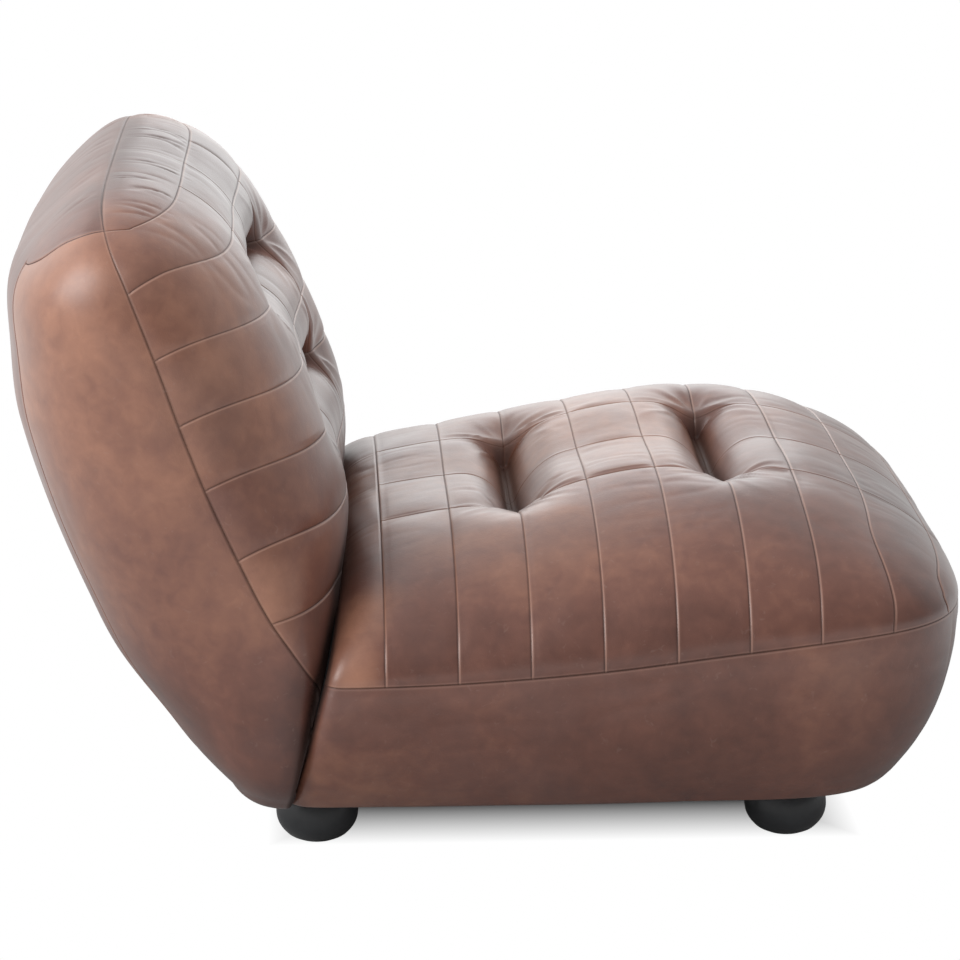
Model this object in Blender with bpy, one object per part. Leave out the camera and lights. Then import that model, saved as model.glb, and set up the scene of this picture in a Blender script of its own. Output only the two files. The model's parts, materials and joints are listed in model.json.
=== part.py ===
"""Armless tufted lounge chair, built from its separate pieces.

Two upholstered units stand on four turned bun feet. The seat unit is a box of
rails on flat base boards, sprung with webbing. The back unit is a pair of
plywood uprights with rails between them. Foam blocks pad each frame, and sewn
leather covers close over the foam. Two deep tufts cross each unit, where a
pull strip draws a seam down to a wooden bar. Metres, +Z up, the front of the
seat towards -Y, and the origin on the floor below the middle of the chair.
"""
import math

import bmesh
import bpy
import numpy as np
from mathutils import Matrix, Vector

# Overall sizes, which everything else follows
HALF_WIDTH = 0.430
BASE_HEIGHT = 0.068
SEAT_FRONT_Y = -0.5267
SEAT_CROWN_Y = -0.1517
SEAT_HEIGHT = 0.402
REAR_FACE_Y = 0.2203
REAR_FACE_LEAN_SHARE = 0.25
BACK_HEIGHT = 0.743
BACK_CROWN_HEIGHT = 0.500
BACK_DEPTH = 0.315

# Clearances between pieces
PIECE_GAP = 0.0003
UNIT_GAP = 0.0005
LEATHER = 0.0018
LINING = 0.0010
OVERRUN = 0.010

# Sewn seams and tufts
SEAT_SEAMS = 9
REAR_SEAM_SETBACK = 0.102
FRONT_SEAM_SETBACK = 0.025
SEAT_REAR_SEAM_Y = REAR_FACE_Y - REAR_SEAM_SETBACK
SEAM_PITCH = (SEAT_REAR_SEAM_Y - SEAT_FRONT_Y - FRONT_SEAM_SETBACK) / (SEAT_SEAMS - 1)
SEAT_TUFT_ROWS = (2, 5)
SEAM_DIP = 0.0015
TUFT_HALF_LENGTH = 0.155
TUFT_DEPTH = 0.026
TUFT_HALF_WIDTH = 0.020
TUFT_BOWL_DEPTH = 0.014
TUFT_BOWL_HALF_WIDTH = 0.050
TUFT_END_REACH = 0.015
TUFT_END_FADE = 0.030
TUFT_BOWL_FADE = 0.060
BACK_TUFT_SHARE = 0.75
SEAT_SAG = 0.006
SEAT_SAG_HALF_WIDTH = 0.090
SEAT_SAG_HALF_LENGTH = 0.250
BACK_TUFT_ROWS = (2, 4)

# Frame of the seat unit
SIDE_PADDING = 0.105
NOSE_PADDING = 0.1665
FRAME_HALF_WIDTH = HALF_WIDTH - SIDE_PADDING
FRAME_FRONT_Y = SEAT_FRONT_Y + NOSE_PADDING
RAIL = 0.025
RAIL_TOP = 0.205
BASE_BOARD = 0.022
BASE_BOARD_WIDTH = 0.085
HEM_LANDING = 0.020
TUFT_BAR_WIDTH = 0.030
TUFT_BAR_DEPTH = 0.020
WEB = 0.0012
WEB_WIDTH = 0.045
LONG_WEB_INSET = 0.115
LONG_WEB_X = FRAME_HALF_WIDTH - LONG_WEB_INSET
STRIP = 0.0015

# Frame of the back unit
UPRIGHT = 0.018
UPRIGHT_INSET = 0.0173
UPRIGHT_OUTER_X = FRAME_HALF_WIDTH - UPRIGHT_INSET
UPRIGHT_TOP_SHARE = 0.861
UPRIGHT_TOP = BACK_HEIGHT * UPRIGHT_TOP_SHARE
UPRIGHT_LIFT = 0.010
UPRIGHT_FOOT = BASE_HEIGHT + UPRIGHT_LIFT
UPRIGHT_SETBACK = 0.0015
LOW_RAIL_TOP = 0.200
BACK_RAIL_WIDTH = 0.070

# Feet and hardware
FOOT_RADIUS = 0.0455
FOOT_SIDE_INSET = 0.043
FOOT_FRONT_INSET = 0.0295
FOOT_REAR_INSET = 0.028
FOOT_X = FRAME_HALF_WIDTH - FOOT_SIDE_INSET
FRONT_FOOT_Y = FRAME_FRONT_Y + FOOT_FRONT_INSET
REAR_FOOT_Y = REAR_FACE_Y - FOOT_REAR_INSET
BOLT_RADIUS = 0.004
BOLT_CLEARANCE = 0.0005
BOLT_HEAD_RADIUS = 0.010
BOLT_HEAD = 0.004
FOOT_BOLT_BOTTOM = 0.034
FOOT_BOLT_BITE = 0.016
FLANGE_RADIUS = 0.011
FLANGE = 0.0018
NUT_RADIUS = 0.0075
NUT = 0.0065
BOLT_TAIL = 0.002
JOINING_BOLT_INSET = 0.125
JOINING_BOLT_X = FRAME_HALF_WIDTH - JOINING_BOLT_INSET
JOINING_BOLT_HEIGHT = 0.145
ROUND_STEPS = 12
FOOT_STEPS = 20
NUT_STEPS = 12

# Outline of the seat seen from the side, as shares of its length from the
# rear face to the front, and of the seat height
SEAT_TOP_SHARES = [(-0.10, 0.725), (0.14, 0.816), (0.24, 0.857), (0.45, 0.940), (0.55, 0.973),
                   (0.70, 1.000), (0.90, 1.000), (1.05, 1.010)]
SEAT_SEAM_SHARES = [(-0.10, 0.544), (0.25, 0.553), (0.45, 0.580), (0.656, 0.626), (0.854, 0.662),
                    (0.946, 0.668), (1.0, 0.668)]
# Outline of the back seen from the side, as shares of its height, and of its
# depth measured from the rear face of the seat
BACK_FRONT_SHARES = [(0.0, 0.010), (0.074, -0.045), (0.162, -0.100), (0.243, -0.150), (0.323, -0.195),
                     (0.404, -0.213), (0.485, -0.219), (0.593, -0.156), (0.691, -0.070),
                     (0.795, 0.022), (0.900, 0.095), (1.03, 0.168)]
BACK_REAR_SHARES = [(0.0, 0.040), (0.081, 0.200), (0.135, 0.317), (0.216, 0.470), (0.303, 0.613),
                    (0.404, 0.730), (0.526, 0.840), (0.674, 0.938), (0.782, 0.985), (0.890, 1.0),
                    (1.03, 0.990)]
BACK_SEAM_SHARES = [(0.0, 0.040), (0.091, 0.012), (0.135, -0.006), (0.229, -0.050), (0.321, -0.032),
                    (0.384, 0.054), (0.480, 0.159), (0.580, 0.257), (0.679, 0.340), (0.778, 0.416),
                    (0.876, 0.500), (0.970, 0.590), (1.03, 0.630)]
# Heights of the cross seams of the back, top to bottom, as shares of its height
BACK_CROSS_SEAM_SHARES = (0.966, 0.886, 0.785, 0.687, 0.590, 0.482, 0.383)
BACK_TOP_LEAN_SHARE = 0.12
BACK_LEAN_Y = 0.2983

# Places of the cross straps: a stretch of webbing between tufts, and a share along it
SEAT_WEB_SHARES = ((0, 0.45), (1, 0.28), (1, 0.72), (2, 0.30), (2, 0.75))
BACK_WEB_SHARES = ((0, 0.17), (0, 0.50), (0, 0.83), (1, 0.50), (2, 0.50))

# How full the rounded sections are: 2 is an ellipse, and larger is squarer
SEAT_PLAN_POWER = 6.0
SEAT_FRONT_POWER = 1.9
SEAT_SIDE_POWERS = (3.2, 2.0)
SEAT_LOW_SIDE_POWERS = (2.2, 4.0)
SEAT_LOW_FRONT_POWER = 1.9
SEAT_LOW_DROP_SHARE = 1.53
BACK_PLAN_POWER = 5.0
BACK_FRONT_SIDE_POWERS = (4.0, 2.1)
BACK_REAR_SIDE_POWERS = (4.5, 2.1)
BACK_FRONT_TOP_POWER = 2.2
BACK_REAR_TOP_POWER = 2.4
BACK_FOOT_POWER = 5.0
BACK_FOOT_START_SHARE = 0.323
BACK_FOOT_END_SHARE = 0.055

# Where the lines of the covers' grids run
TUFT_COLUMNS = 3
EDGE_COLUMN_SHARES = (0.27, 0.50, 0.70, 0.88, 1.0)
BACK_SIDE_COLUMNS = 2
REAR_ROW_SHARES = (1.0, 0.83, 0.44)
FRONT_ROW_SHARES = (0.68, 1.0)
LOW_LEVELS = 4
BACK_LOW_ROW_SHARES = (0.0, 0.22, 0.48, 0.74)
BACK_TOP_ROW_SHARES = (0.66, 1.0)
REAR_EDGE_ROLL = 0.012
REAR_CORNER_ROLL = 0.010

SEAT_LENGTH = REAR_FACE_Y - SEAT_FRONT_Y
TUFT_SHARE = TUFT_HALF_LENGTH / HALF_WIDTH
FOAM_INSET = LEATHER + PIECE_GAP
DECK_HEIGHT = RAIL_TOP + PIECE_GAP + WEB + PIECE_GAP
LEAN_ANGLE = math.atan(REAR_FACE_LEAN_SHARE)
SLOT_HALF = STRIP / 2.0 + PIECE_GAP


# Shared shape helpers
def smooth_curve(points):
    """A smooth function through (place, value) points chosen by hand."""
    places, values = np.array(sorted(points)).T
    slopes = np.gradient(values, places)

    def value_at(place):
        place = np.clip(place, places[0], places[-1])
        i = int(np.clip(np.searchsorted(places, place) - 1, 0, len(places) - 2))
        span = places[i + 1] - places[i]
        f = (place - places[i]) / span
        rise = (3.0 - 2.0 * f) * f * f
        lift = slopes[i] * f * (1.0 - f) ** 2 - slopes[i + 1] * f * f * (1.0 - f)
        return float(values[i] + (values[i + 1] - values[i]) * rise + span * lift)

    return value_at


def round_off(share, power, root=None):
    """Height of a rounded section at a share of its half width."""
    share = min(1.0, abs(share))
    return (1.0 - share ** power) ** (1.0 / (root or power))


def rounded_place(across, along, power):
    """Bend a square grid so that its far corners follow a rounded outline."""
    reach = max(abs(across), along)
    if along <= 0.0 or reach == 0.0:
        return across, along
    corner = ((abs(across) / reach) ** power + (along / reach) ** power) ** (-1.0 / power)
    pull = 1.0 + (corner - 1.0) * reach ** 3
    return across * pull, along * pull


def fade(distance, reach, power=2.0):
    """A smooth hollow that fades with distance."""
    return math.exp(-(abs(distance) / reach) ** power)


def tuft_depth(x, from_row):
    """Depth of one tuft at x, at a distance from the row that is drawn in."""
    beyond = max(0.0, abs(x) - TUFT_HALF_LENGTH + TUFT_END_REACH)
    valley = TUFT_DEPTH * fade(from_row, TUFT_HALF_WIDTH, 1.5) * fade(beyond, TUFT_END_FADE)
    bowl = TUFT_BOWL_DEPTH * fade(from_row, TUFT_BOWL_HALF_WIDTH) * fade(beyond, TUFT_BOWL_FADE)
    return valley + bowl


def rear_face_y(z):
    """The leaning plane where the seat unit meets the back unit."""
    return REAR_FACE_Y - REAR_FACE_LEAN_SHARE * (z - BASE_HEIGHT)


def column_shares():
    """Places of the lengthwise grid lines, from one side to the other."""
    inner = [TUFT_SHARE * k / TUFT_COLUMNS for k in range(TUFT_COLUMNS + 1)]
    outer = [TUFT_SHARE + (1.0 - TUFT_SHARE) * share for share in EDGE_COLUMN_SHARES]
    half = inner + outer
    return [-share for share in reversed(half[1:])] + half


# Outer shape of the seat unit
seat_top_share = smooth_curve(SEAT_TOP_SHARES)
seat_seam_share = smooth_curve(SEAT_SEAM_SHARES)


def seat_top_z(y):
    return SEAT_HEIGHT * seat_top_share((REAR_FACE_Y - y) / SEAT_LENGTH)


def seat_seam_z(y):
    return SEAT_HEIGHT * seat_seam_share((REAR_FACE_Y - y) / SEAT_LENGTH)


def seat_row_y():
    """Nominal places of the cross grid lines, from the rear face forwards."""
    rear_span = REAR_FACE_Y - SEAT_REAR_SEAM_Y
    rows = [SEAT_REAR_SEAM_Y + rear_span * share for share in REAR_ROW_SHARES]
    half_pitch = SEAM_PITCH / 2.0
    rows += [SEAT_REAR_SEAM_Y - half_pitch * k for k in range(2 * SEAT_SEAMS - 1)]
    front_span = rows[-1] - SEAT_FRONT_Y
    last = rows[-1]
    return rows + [last - front_span * share for share in FRONT_ROW_SHARES]


def lean_to_rear(y, z):
    """Shift a rear row so that the last one lies in the leaning rear face."""
    share = max(0.0, (y - SEAT_REAR_SEAM_Y) / (REAR_FACE_Y - SEAT_REAR_SEAM_Y))
    return y + share * (rear_face_y(z) - REAR_FACE_Y)


def seat_top_point(across, row_y):
    """A point of the seat's upper surface, above its side seam."""
    front = SEAT_CROWN_Y - SEAT_FRONT_Y
    across, along = rounded_place(across, (SEAT_CROWN_Y - row_y) / front, SEAT_PLAN_POWER)
    y = SEAT_CROWN_Y - front * along
    x = HALF_WIDTH * across
    along = max(0.0, along)
    wide = HALF_WIDTH * round_off(along, SEAT_PLAN_POWER)
    side = round_off(x / wide, *SEAT_SIDE_POWERS) if wide > PIECE_GAP else 1.0
    seam_z = seat_seam_z(y)
    z = seam_z + (seat_top_z(y) - seam_z) * side * round_off(along, SEAT_FRONT_POWER)
    for row in SEAT_TUFT_ROWS:
        z -= tuft_depth(x, y - SEAT_REAR_SEAM_Y + SEAM_PITCH * row) * side
    sag = fade(y - SEAT_CROWN_Y, SEAT_SAG_HALF_LENGTH, 4.0)
    z -= SEAT_SAG * fade(x, SEAT_SAG_HALF_WIDTH) * sag * side
    end = max(0.0, (row_y - SEAT_REAR_SEAM_Y) / (REAR_FACE_Y - SEAT_REAR_SEAM_Y))
    z -= REAR_EDGE_ROLL * end ** 4 * side
    x -= math.copysign(REAR_CORNER_ROLL * end ** 4, x) * abs(across)
    return (x, lean_to_rear(y, z), z)


def seat_low_point(x, y, row_y, share):
    """A point below the side seam, at a share of the way down to the base."""
    seam_z = seat_seam_z(y)
    full_drop = SEAT_LOW_DROP_SHARE * (seam_z - BASE_HEIGHT)
    drop_share = share / SEAT_LOW_DROP_SHARE
    z = seam_z - full_drop * drop_share
    x = x * round_off(drop_share, *SEAT_LOW_SIDE_POWERS)
    if y < SEAT_CROWN_Y:
        tuck = round_off(drop_share, SEAT_LOW_FRONT_POWER)
        return (x, SEAT_CROWN_Y - (SEAT_CROWN_Y - y) * tuck, z)
    return (x, lean_to_rear(row_y, z), z)


def seat_hem_point(point):
    """Where the leather's hem ends under the frame, inside its outer edge."""
    x, y, z = point
    half = HALF_WIDTH * round_off(1.0 / SEAT_LOW_DROP_SHARE, *SEAT_LOW_SIDE_POWERS)
    x_share = (FRAME_HALF_WIDTH - HEM_LANDING) / half
    front = SEAT_CROWN_Y - FRAME_FRONT_Y
    if y < SEAT_CROWN_Y:
        y = SEAT_CROWN_Y - (SEAT_CROWN_Y - y) * (front - HEM_LANDING) / front
    return (x * x_share, y, z)


class Body:
    """A closed outer surface whose faces are grouped into cover panels."""

    def __init__(self):
        self.points = []
        self.faces = []
        self.panels = []
        self.seams = set()

    def add(self, point):
        self.points.append(point)
        return len(self.points) - 1

    def face(self, corners, panel):
        self.faces.append(tuple(corners))
        self.panels.append(panel)

    def quad(self, a, b, c, d, panel):
        """Two triangles, split the same way on both sides of the middle."""
        if self.points[a][0] + self.points[c][0] < 0.0:
            a, b, c, d = b, c, d, a
        self.face((a, b, c), panel)
        self.face((a, c, d), panel)

    def finish(self):
        """Work out the offset surfaces once all the faces are in."""
        bm = bmesh.new()
        verts = [bm.verts.new(point) for point in self.points]
        for corners in self.faces:
            bm.faces.new([verts[i] for i in corners])
        bm.normal_update()
        self.normals = [self.offset_direction(vert) for vert in verts]
        bm.free()
        self.points = [Vector(p) - self.normals[i] * (SEAM_DIP if i in self.seams else 0.0)
                       for i, p in enumerate(self.points)]

    @staticmethod
    def offset_direction(vert):
        """The step that moves every face around a corner by one unit."""
        faces = np.array([face.normal[:] for face in vert.link_faces])
        hold_share = 0.05
        rows = np.vstack([faces, np.eye(3) * hold_share])
        aim = np.concatenate([np.ones(len(faces)), np.array(vert.normal) * hold_share])
        step = Vector(np.linalg.lstsq(rows, aim, rcond=None)[0])
        longest_share = 1.8
        return step.normalized() * min(step.length, longest_share)

    def inside(self, depth):
        """The surface moved inwards by a depth."""
        return [p - n * depth for p, n in zip(self.points, self.normals)]


def seat_body():
    """Outer surface of the seat unit: top, lower panels, rear face, underside."""
    body = Body()
    shares = column_shares()
    rows = seat_row_y()
    top = [[body.add(seat_top_point(share, y)) for share in shares] for y in rows]
    first = len(REAR_ROW_SHARES)
    middle = len(shares) // 2
    lines = (middle - TUFT_COLUMNS, middle, middle + TUFT_COLUMNS)
    for i in range(len(rows) - 1):
        for j in range(len(shares) - 1):
            body.quad(top[i][j], top[i + 1][j], top[i + 1][j + 1], top[i][j + 1], "top")
        crossing = i >= first and (i - first) % 2 == 0
        for j in range(len(shares)):
            if crossing or (j in lines and first <= i <= first + 2 * (SEAT_SEAMS - 2)):
                body.seams.add(top[i][j])
    border = [(i, 0) for i in range(len(rows))]
    border += [(len(rows) - 1, j) for j in range(1, len(shares) - 1)]
    border += [(i, len(shares) - 1) for i in reversed(range(len(rows)))]
    above = [top[i][j] for i, j in border]
    body.seams.update(above[1:-1])
    rim = [body.points[k] for k in above]
    corner = len(rows) - 1
    far_corner = corner + len(shares) - 1
    for level in range(1, LOW_LEVELS + 2):
        if level <= LOW_LEVELS:
            share = level / LOW_LEVELS
            ring = [seat_low_point(p[0], p[1], rows[i], share) for p, (i, j) in zip(rim, border)]
        else:
            ring = [seat_hem_point(body.points[k]) for k in above]
        below = [body.add(point) for point in ring]
        for k in range(len(border) - 1):
            panel = "side_right" if k < corner else ("side_left" if k >= far_corner else "front")
            body.quad(above[k], below[k], below[k + 1], above[k + 1], panel)
        if level == 1:
            left_edge, right_edge = [above[0]], [above[-1]]
        left_edge.append(below[0])
        right_edge.append(below[-1])
        above = below
    body.face(list(reversed(above)), "underside")
    rear = left_edge[1:] + list(reversed(right_edge)) + list(reversed(top[0][:-1]))
    body.face(reversed(rear), "rear")
    body.finish()
    return body


# Outer shape of the back unit
back_front_share = smooth_curve(BACK_FRONT_SHARES)
back_rear_share = smooth_curve(BACK_REAR_SHARES)
back_seam_share = smooth_curve(BACK_SEAM_SHARES)


def back_y(curve, height):
    return REAR_FACE_Y + BACK_DEPTH * curve(height / BACK_HEIGHT)


def back_row_heights():
    """Nominal heights of the cross grid lines, from the base upwards."""
    seams = [BACK_HEIGHT * share for share in reversed(BACK_CROSS_SEAM_SHARES)]
    rows = [BASE_HEIGHT + (seams[0] - BASE_HEIGHT) * share for share in BACK_LOW_ROW_SHARES]
    for low, high in zip(seams, seams[1:]):
        rows += [low, (low + high) / 2.0]
    rows.append(seams[-1])
    return rows + [seams[-1] + (BACK_HEIGHT - seams[-1]) * share for share in BACK_TOP_ROW_SHARES]


def back_point(across, height, rear):
    """A point of the back's front or rear surface."""
    rise = BACK_HEIGHT - BACK_CROWN_HEIGHT
    across, along = rounded_place(across, (height - BACK_CROWN_HEIGHT) / rise, BACK_PLAN_POWER)
    height = BACK_CROWN_HEIGHT + rise * along
    along = max(0.0, along)
    wide = round_off(along, BACK_PLAN_POWER)
    start = BACK_HEIGHT * BACK_FOOT_START_SHARE
    end = BACK_HEIGHT * BACK_FOOT_END_SHARE
    narrow = round_off(max(0.0, (start - height) / (start - end)), BACK_FOOT_POWER)
    x = HALF_WIDTH * across * narrow
    side_share = across / wide if wide > PIECE_GAP else 0.0
    seam_y = back_y(back_seam_share, height)
    if rear:
        bulge = back_y(back_rear_share, height) - seam_y
        bulge *= round_off(side_share, *BACK_REAR_SIDE_POWERS)
        y = seam_y + bulge * round_off(along, BACK_REAR_TOP_POWER)
    else:
        side = round_off(side_share, *BACK_FRONT_SIDE_POWERS)
        bulge = (seam_y - back_y(back_front_share, height)) * side
        y = seam_y - bulge * round_off(along, BACK_FRONT_TOP_POWER)
        for row in BACK_TUFT_ROWS:
            from_row = height - BACK_HEIGHT * BACK_CROSS_SEAM_SHARES[row]
            y += BACK_TUFT_SHARE * tuft_depth(x, from_row) * side
    z = height - BACK_TOP_LEAN_SHARE * (y - BACK_LEAN_Y)
    on_base = abs(height - BASE_HEIGHT) < PIECE_GAP
    z = BASE_HEIGHT if on_base else max(z, BASE_HEIGHT)
    return (x, max(y, rear_face_y(z) + UNIT_GAP), z)


def back_body():
    """Outer surface of the back unit: front, rear, sides and underside."""
    body = Body()
    shares = column_shares()
    rows = back_row_heights()
    last = len(shares) - 1
    front = [[body.add(back_point(share, t, False)) for share in shares] for t in rows]
    rear = [list(line) for line in front]
    for i in range(len(rows) - 1):
        for j in range(1, last):
            rear[i][j] = body.add(back_point(shares[j], rows[i], True))
    low = len(BACK_LOW_ROW_SHARES)
    band = len(rows) - 1 - len(BACK_TOP_ROW_SHARES)
    middle = len(shares) // 2
    lines = (middle - TUFT_COLUMNS, middle, middle + TUFT_COLUMNS)
    side_columns = BACK_SIDE_COLUMNS
    for i in range(len(rows) - 1):
        for j in range(last):
            body.quad(front[i][j], front[i][j + 1], front[i + 1][j + 1], front[i + 1][j], "front")
            panel = "rear"
            if i < band and j < side_columns:
                panel = "side_right"
            if i < band and j >= last - side_columns:
                panel = "side_left"
            body.quad(rear[i][j], rear[i + 1][j], rear[i + 1][j + 1], rear[i][j + 1], panel)
        for j in range(last + 1):
            if (i >= low and i <= band and (i - low) % 2 == 0) or (j in lines and i >= low):
                body.seams.add(front[i][j])
        for j in (side_columns, last - side_columns):
            if 0 < i <= band:
                body.seams.add(rear[i][j])
        if i > 0:
            body.seams.update((front[i][0], front[i][last]))
    body.seams.update(front[-1])
    for j in range(last):
        corners = (front[0][j], rear[0][j], rear[0][j + 1], front[0][j + 1])
        body.face(dict.fromkeys(corners), "underside")
    body.finish()
    return body


# Materials
def make_material(name, colour, roughness, metallic=0.0):
    material = bpy.data.materials.new(name)
    material.use_nodes = True
    shader = material.node_tree.nodes["Principled BSDF"]
    shader.inputs["Base Color"].default_value = (*colour, 1.0)
    shader.inputs["Roughness"].default_value = roughness
    shader.inputs["Metallic"].default_value = metallic
    return material


def make_object(name, bm, material):
    """Turn a bmesh into a named object with outward faces."""
    bmesh.ops.recalc_face_normals(bm, faces=bm.faces)
    mesh = bpy.data.meshes.new(name)
    bm.to_mesh(mesh)
    bm.free()
    mesh.materials.append(material)
    piece = bpy.data.objects.new(name, mesh)
    bpy.context.scene.collection.objects.link(piece)
    return piece


# Leather covers and foam
def leather_panel(name, body, panel, material):
    """One cut and sewn panel of leather, with thickness and its own edges."""
    faces = [face for face, label in zip(body.faces, body.panels) if label == panel]
    used = sorted({i for face in faces for i in face})
    edges = {}
    for face in faces:
        for a, b in zip(face, face[1:] + face[:1]):
            edges[(a, b)] = face
    open_edges = [(a, b) for a, b in edges if (b, a) not in edges]
    rim = sorted({i for edge in open_edges for i in edge})
    inner = body.inside(LEATHER)
    draw = {}
    for i in rim:
        inwards = Vector()
        for edge in open_edges:
            if i in edge:
                a, b = (body.points[k] for k in edge)
                third = body.points[next(k for k in edges[edge] if k not in edge)]
                normal = (b - a).cross(third - a)
                inwards += normal.cross(b - a).normalized() / 2.0
        draw[i] = inwards * (PIECE_GAP / max(inwards.length_squared, 0.4))
    bm = bmesh.new()
    still = Vector()
    outside = {i: bm.verts.new(body.points[i] + draw.get(i, still)) for i in used}
    within = {i: bm.verts.new(inner[i] + draw.get(i, still)) for i in used}
    for face in faces:
        bm.faces.new([outside[i] for i in face])
        bm.faces.new([within[i] for i in reversed(face)])
    for a, b in open_edges:
        bm.faces.new((outside[b], outside[a], within[a], within[b]))
    return make_object(name, bm, material)


def foam_block(name, body, cuts, material):
    """A block of foam: the space inside the cover, trimmed by planes.

    Each cut is a point on the plane and the direction that is thrown away.
    """
    bm = bmesh.new()
    verts = [bm.verts.new(point) for point in body.inside(FOAM_INSET)]
    for face in body.faces:
        bm.faces.new([verts[i] for i in face])
    for point, away in cuts:
        everything = bm.verts[:] + bm.edges[:] + bm.faces[:]
        bmesh.ops.bisect_plane(bm, geom=everything, plane_co=point, plane_no=away,
                               dist=PIECE_GAP / 100.0, clear_outer=True)
        rim = [edge for edge in bm.edges if edge.is_boundary]
        if rim:
            bmesh.ops.holes_fill(bm, edges=rim, sides=0)
    bmesh.ops.remove_doubles(bm, verts=bm.verts, dist=PIECE_GAP / 10.0)
    bmesh.ops.triangulate(bm, faces=bm.faces)
    bmesh.ops.dissolve_limit(bm, angle_limit=math.radians(0.01), verts=bm.verts, edges=bm.edges)
    return make_object(name, bm, material)


def plane_x(x, away):
    return (Vector((x, 0.0, 0.0)), Vector((away, 0.0, 0.0)))


def plane_y(y, away):
    return (Vector((0.0, y, 0.0)), Vector((0.0, away, 0.0)))


def plane_z(z, away):
    return (Vector((0.0, 0.0, z)), Vector((0.0, 0.0, away)))


def plane_through(low, high, away):
    """A plane across the chair through two (y, z) points."""
    along = Vector((0.0, high[0] - low[0], high[1] - low[1])).normalized()
    return (Vector((0.0, *low)), Vector((0.0, along.z, -along.y)) * away)


# Wood, webbing and hardware
def box(bm, low, high):
    """A box between two corners."""
    size = [b - a for a, b in zip(low, high)]
    middle = [(a + b) / 2.0 for a, b in zip(low, high)]
    matrix = Matrix.Translation(middle) @ Matrix.Diagonal((*size, 1.0))
    bmesh.ops.create_cube(bm, size=1.0, matrix=matrix)


def prism(bm, outline, axis, low, high):
    """A flat outline, drawn in the two other axes, given thickness on one."""
    def place(point, level):
        coordinates = list(point)
        coordinates.insert(axis, level)
        return coordinates
    ends = [[bm.verts.new(place(point, level)) for point in outline] for level in (low, high)]
    bm.faces.new(ends[0])
    bm.faces.new(list(reversed(ends[1])))
    for i in range(len(outline)):
        j = (i + 1) % len(outline)
        bm.faces.new((ends[0][i], ends[1][i], ends[1][j], ends[0][j]))


def turned(bm, profile, steps, matrix, ring=False):
    """A piece turned on a lathe: (radius, height) points about local Z."""
    rows = []
    for radius, height in profile:
        count = 1 if radius == 0.0 else steps
        angles = [2.0 * math.pi * k / steps for k in range(count)]
        places = [(radius * math.cos(a), radius * math.sin(a), height) for a in angles]
        rows.append([bm.verts.new(matrix @ Vector(p)) for p in places])
    pairs = list(zip(rows, rows[1:]))
    if ring:
        pairs.append((rows[-1], rows[0]))
    for low, high in pairs:
        for k in range(steps):
            j = (k + 1) % steps
            corners = (low[k % len(low)], low[j % len(low)], high[j % len(high)], high[k % len(high)])
            bm.faces.new(dict.fromkeys(corners))


def bore(piece, name, matrices, radius, length):
    """Drill round holes with a hidden cutter."""
    bm = bmesh.new()
    for matrix in matrices:
        turned(bm, [(0.0, 0.0), (radius, 0.0), (radius, length), (0.0, length)], ROUND_STEPS, matrix)
    cutter = make_object(name, bm, piece.data.materials[0])
    cutter.hide_render = True
    cutter.display_type = "WIRE"
    cut = piece.modifiers.new(name, "BOOLEAN")
    cut.operation = "DIFFERENCE"
    cut.object = cutter


def webbing_panel(name, path, cross_shares, half_width, material):
    """Webbing straps woven and stapled into one panel along a (y, z) path."""
    points = [Vector((0.0, *point)) for point in path]
    lengths = [0.0]
    for a, b in zip(points, points[1:]):
        lengths.append(lengths[-1] + (b - a).length)
    middles = [lengths[i] + (lengths[i + 1] - lengths[i]) * share for i, share in cross_shares]
    runs = [(middle - WEB_WIDTH / 2.0, middle + WEB_WIDTH / 2.0) for middle in middles]
    along = sorted(set(lengths) | {end for run in runs for end in run})
    strap = (LONG_WEB_X - WEB_WIDTH / 2.0, LONG_WEB_X + WEB_WIDTH / 2.0)
    across = sorted({sign * x for x in strap + (half_width,) for sign in (-1.0, 1.0)})

    def surface(x, place, depth):
        i = min(max(0, int(np.searchsorted(lengths, place)) - 1), len(points) - 2)
        direction = (points[i + 1] - points[i]).normalized()
        spot = points[i] + direction * (place - lengths[i])
        return Vector((x, spot.y, spot.z)) + Vector((0.0, -direction.z, direction.y)) * depth

    def filled(i, j):
        if not (0 <= i < len(along) - 1 and 0 <= j < len(across) - 1):
            return False
        place = (along[i] + along[i + 1]) / 2.0
        x = abs(across[j] + across[j + 1]) / 2.0
        return strap[0] < x < strap[1] or any(low < place < high for low, high in runs)

    bm = bmesh.new()
    skins = [[[bm.verts.new(surface(x, place, depth)) for x in across] for place in along]
             for depth in (0.0, WEB)]
    low, high = skins
    for i in range(len(along) - 1):
        for j in range(len(across) - 1):
            if not filled(i, j):
                continue
            for skin in skins:
                bm.faces.new((skin[i][j], skin[i][j + 1], skin[i + 1][j + 1], skin[i + 1][j]))
            sides = (((i - 1, j), (i, j), (i, j + 1)), ((i + 1, j), (i + 1, j), (i + 1, j + 1)),
                     ((i, j - 1), (i, j), (i + 1, j)), ((i, j + 1), (i, j + 1), (i + 1, j + 1)))
            for neighbour, a, b in sides:
                if not filled(*neighbour):
                    bm.faces.new((low[a[0]][a[1]], low[b[0]][b[1]], high[b[0]][b[1]], high[a[0]][a[1]]))
    loose = [vert for vert in bm.verts if not vert.link_faces]
    bmesh.ops.delete(bm, geom=loose, context="VERTS")
    make_object(name, bm, material)


def base_outline_x(y):
    """Half width of the seat's base at y, inside the leather."""
    half = HALF_WIDTH * round_off(1.0 / SEAT_LOW_DROP_SHARE, *SEAT_LOW_SIDE_POWERS) - FOAM_INSET
    front = SEAT_CROWN_Y - FRAME_FRONT_Y + PIECE_GAP
    along = max(0.0, (SEAT_CROWN_Y - y) / front)
    return min(FRAME_HALF_WIDTH, half * round_off(along, SEAT_PLAN_POWER))


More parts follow.
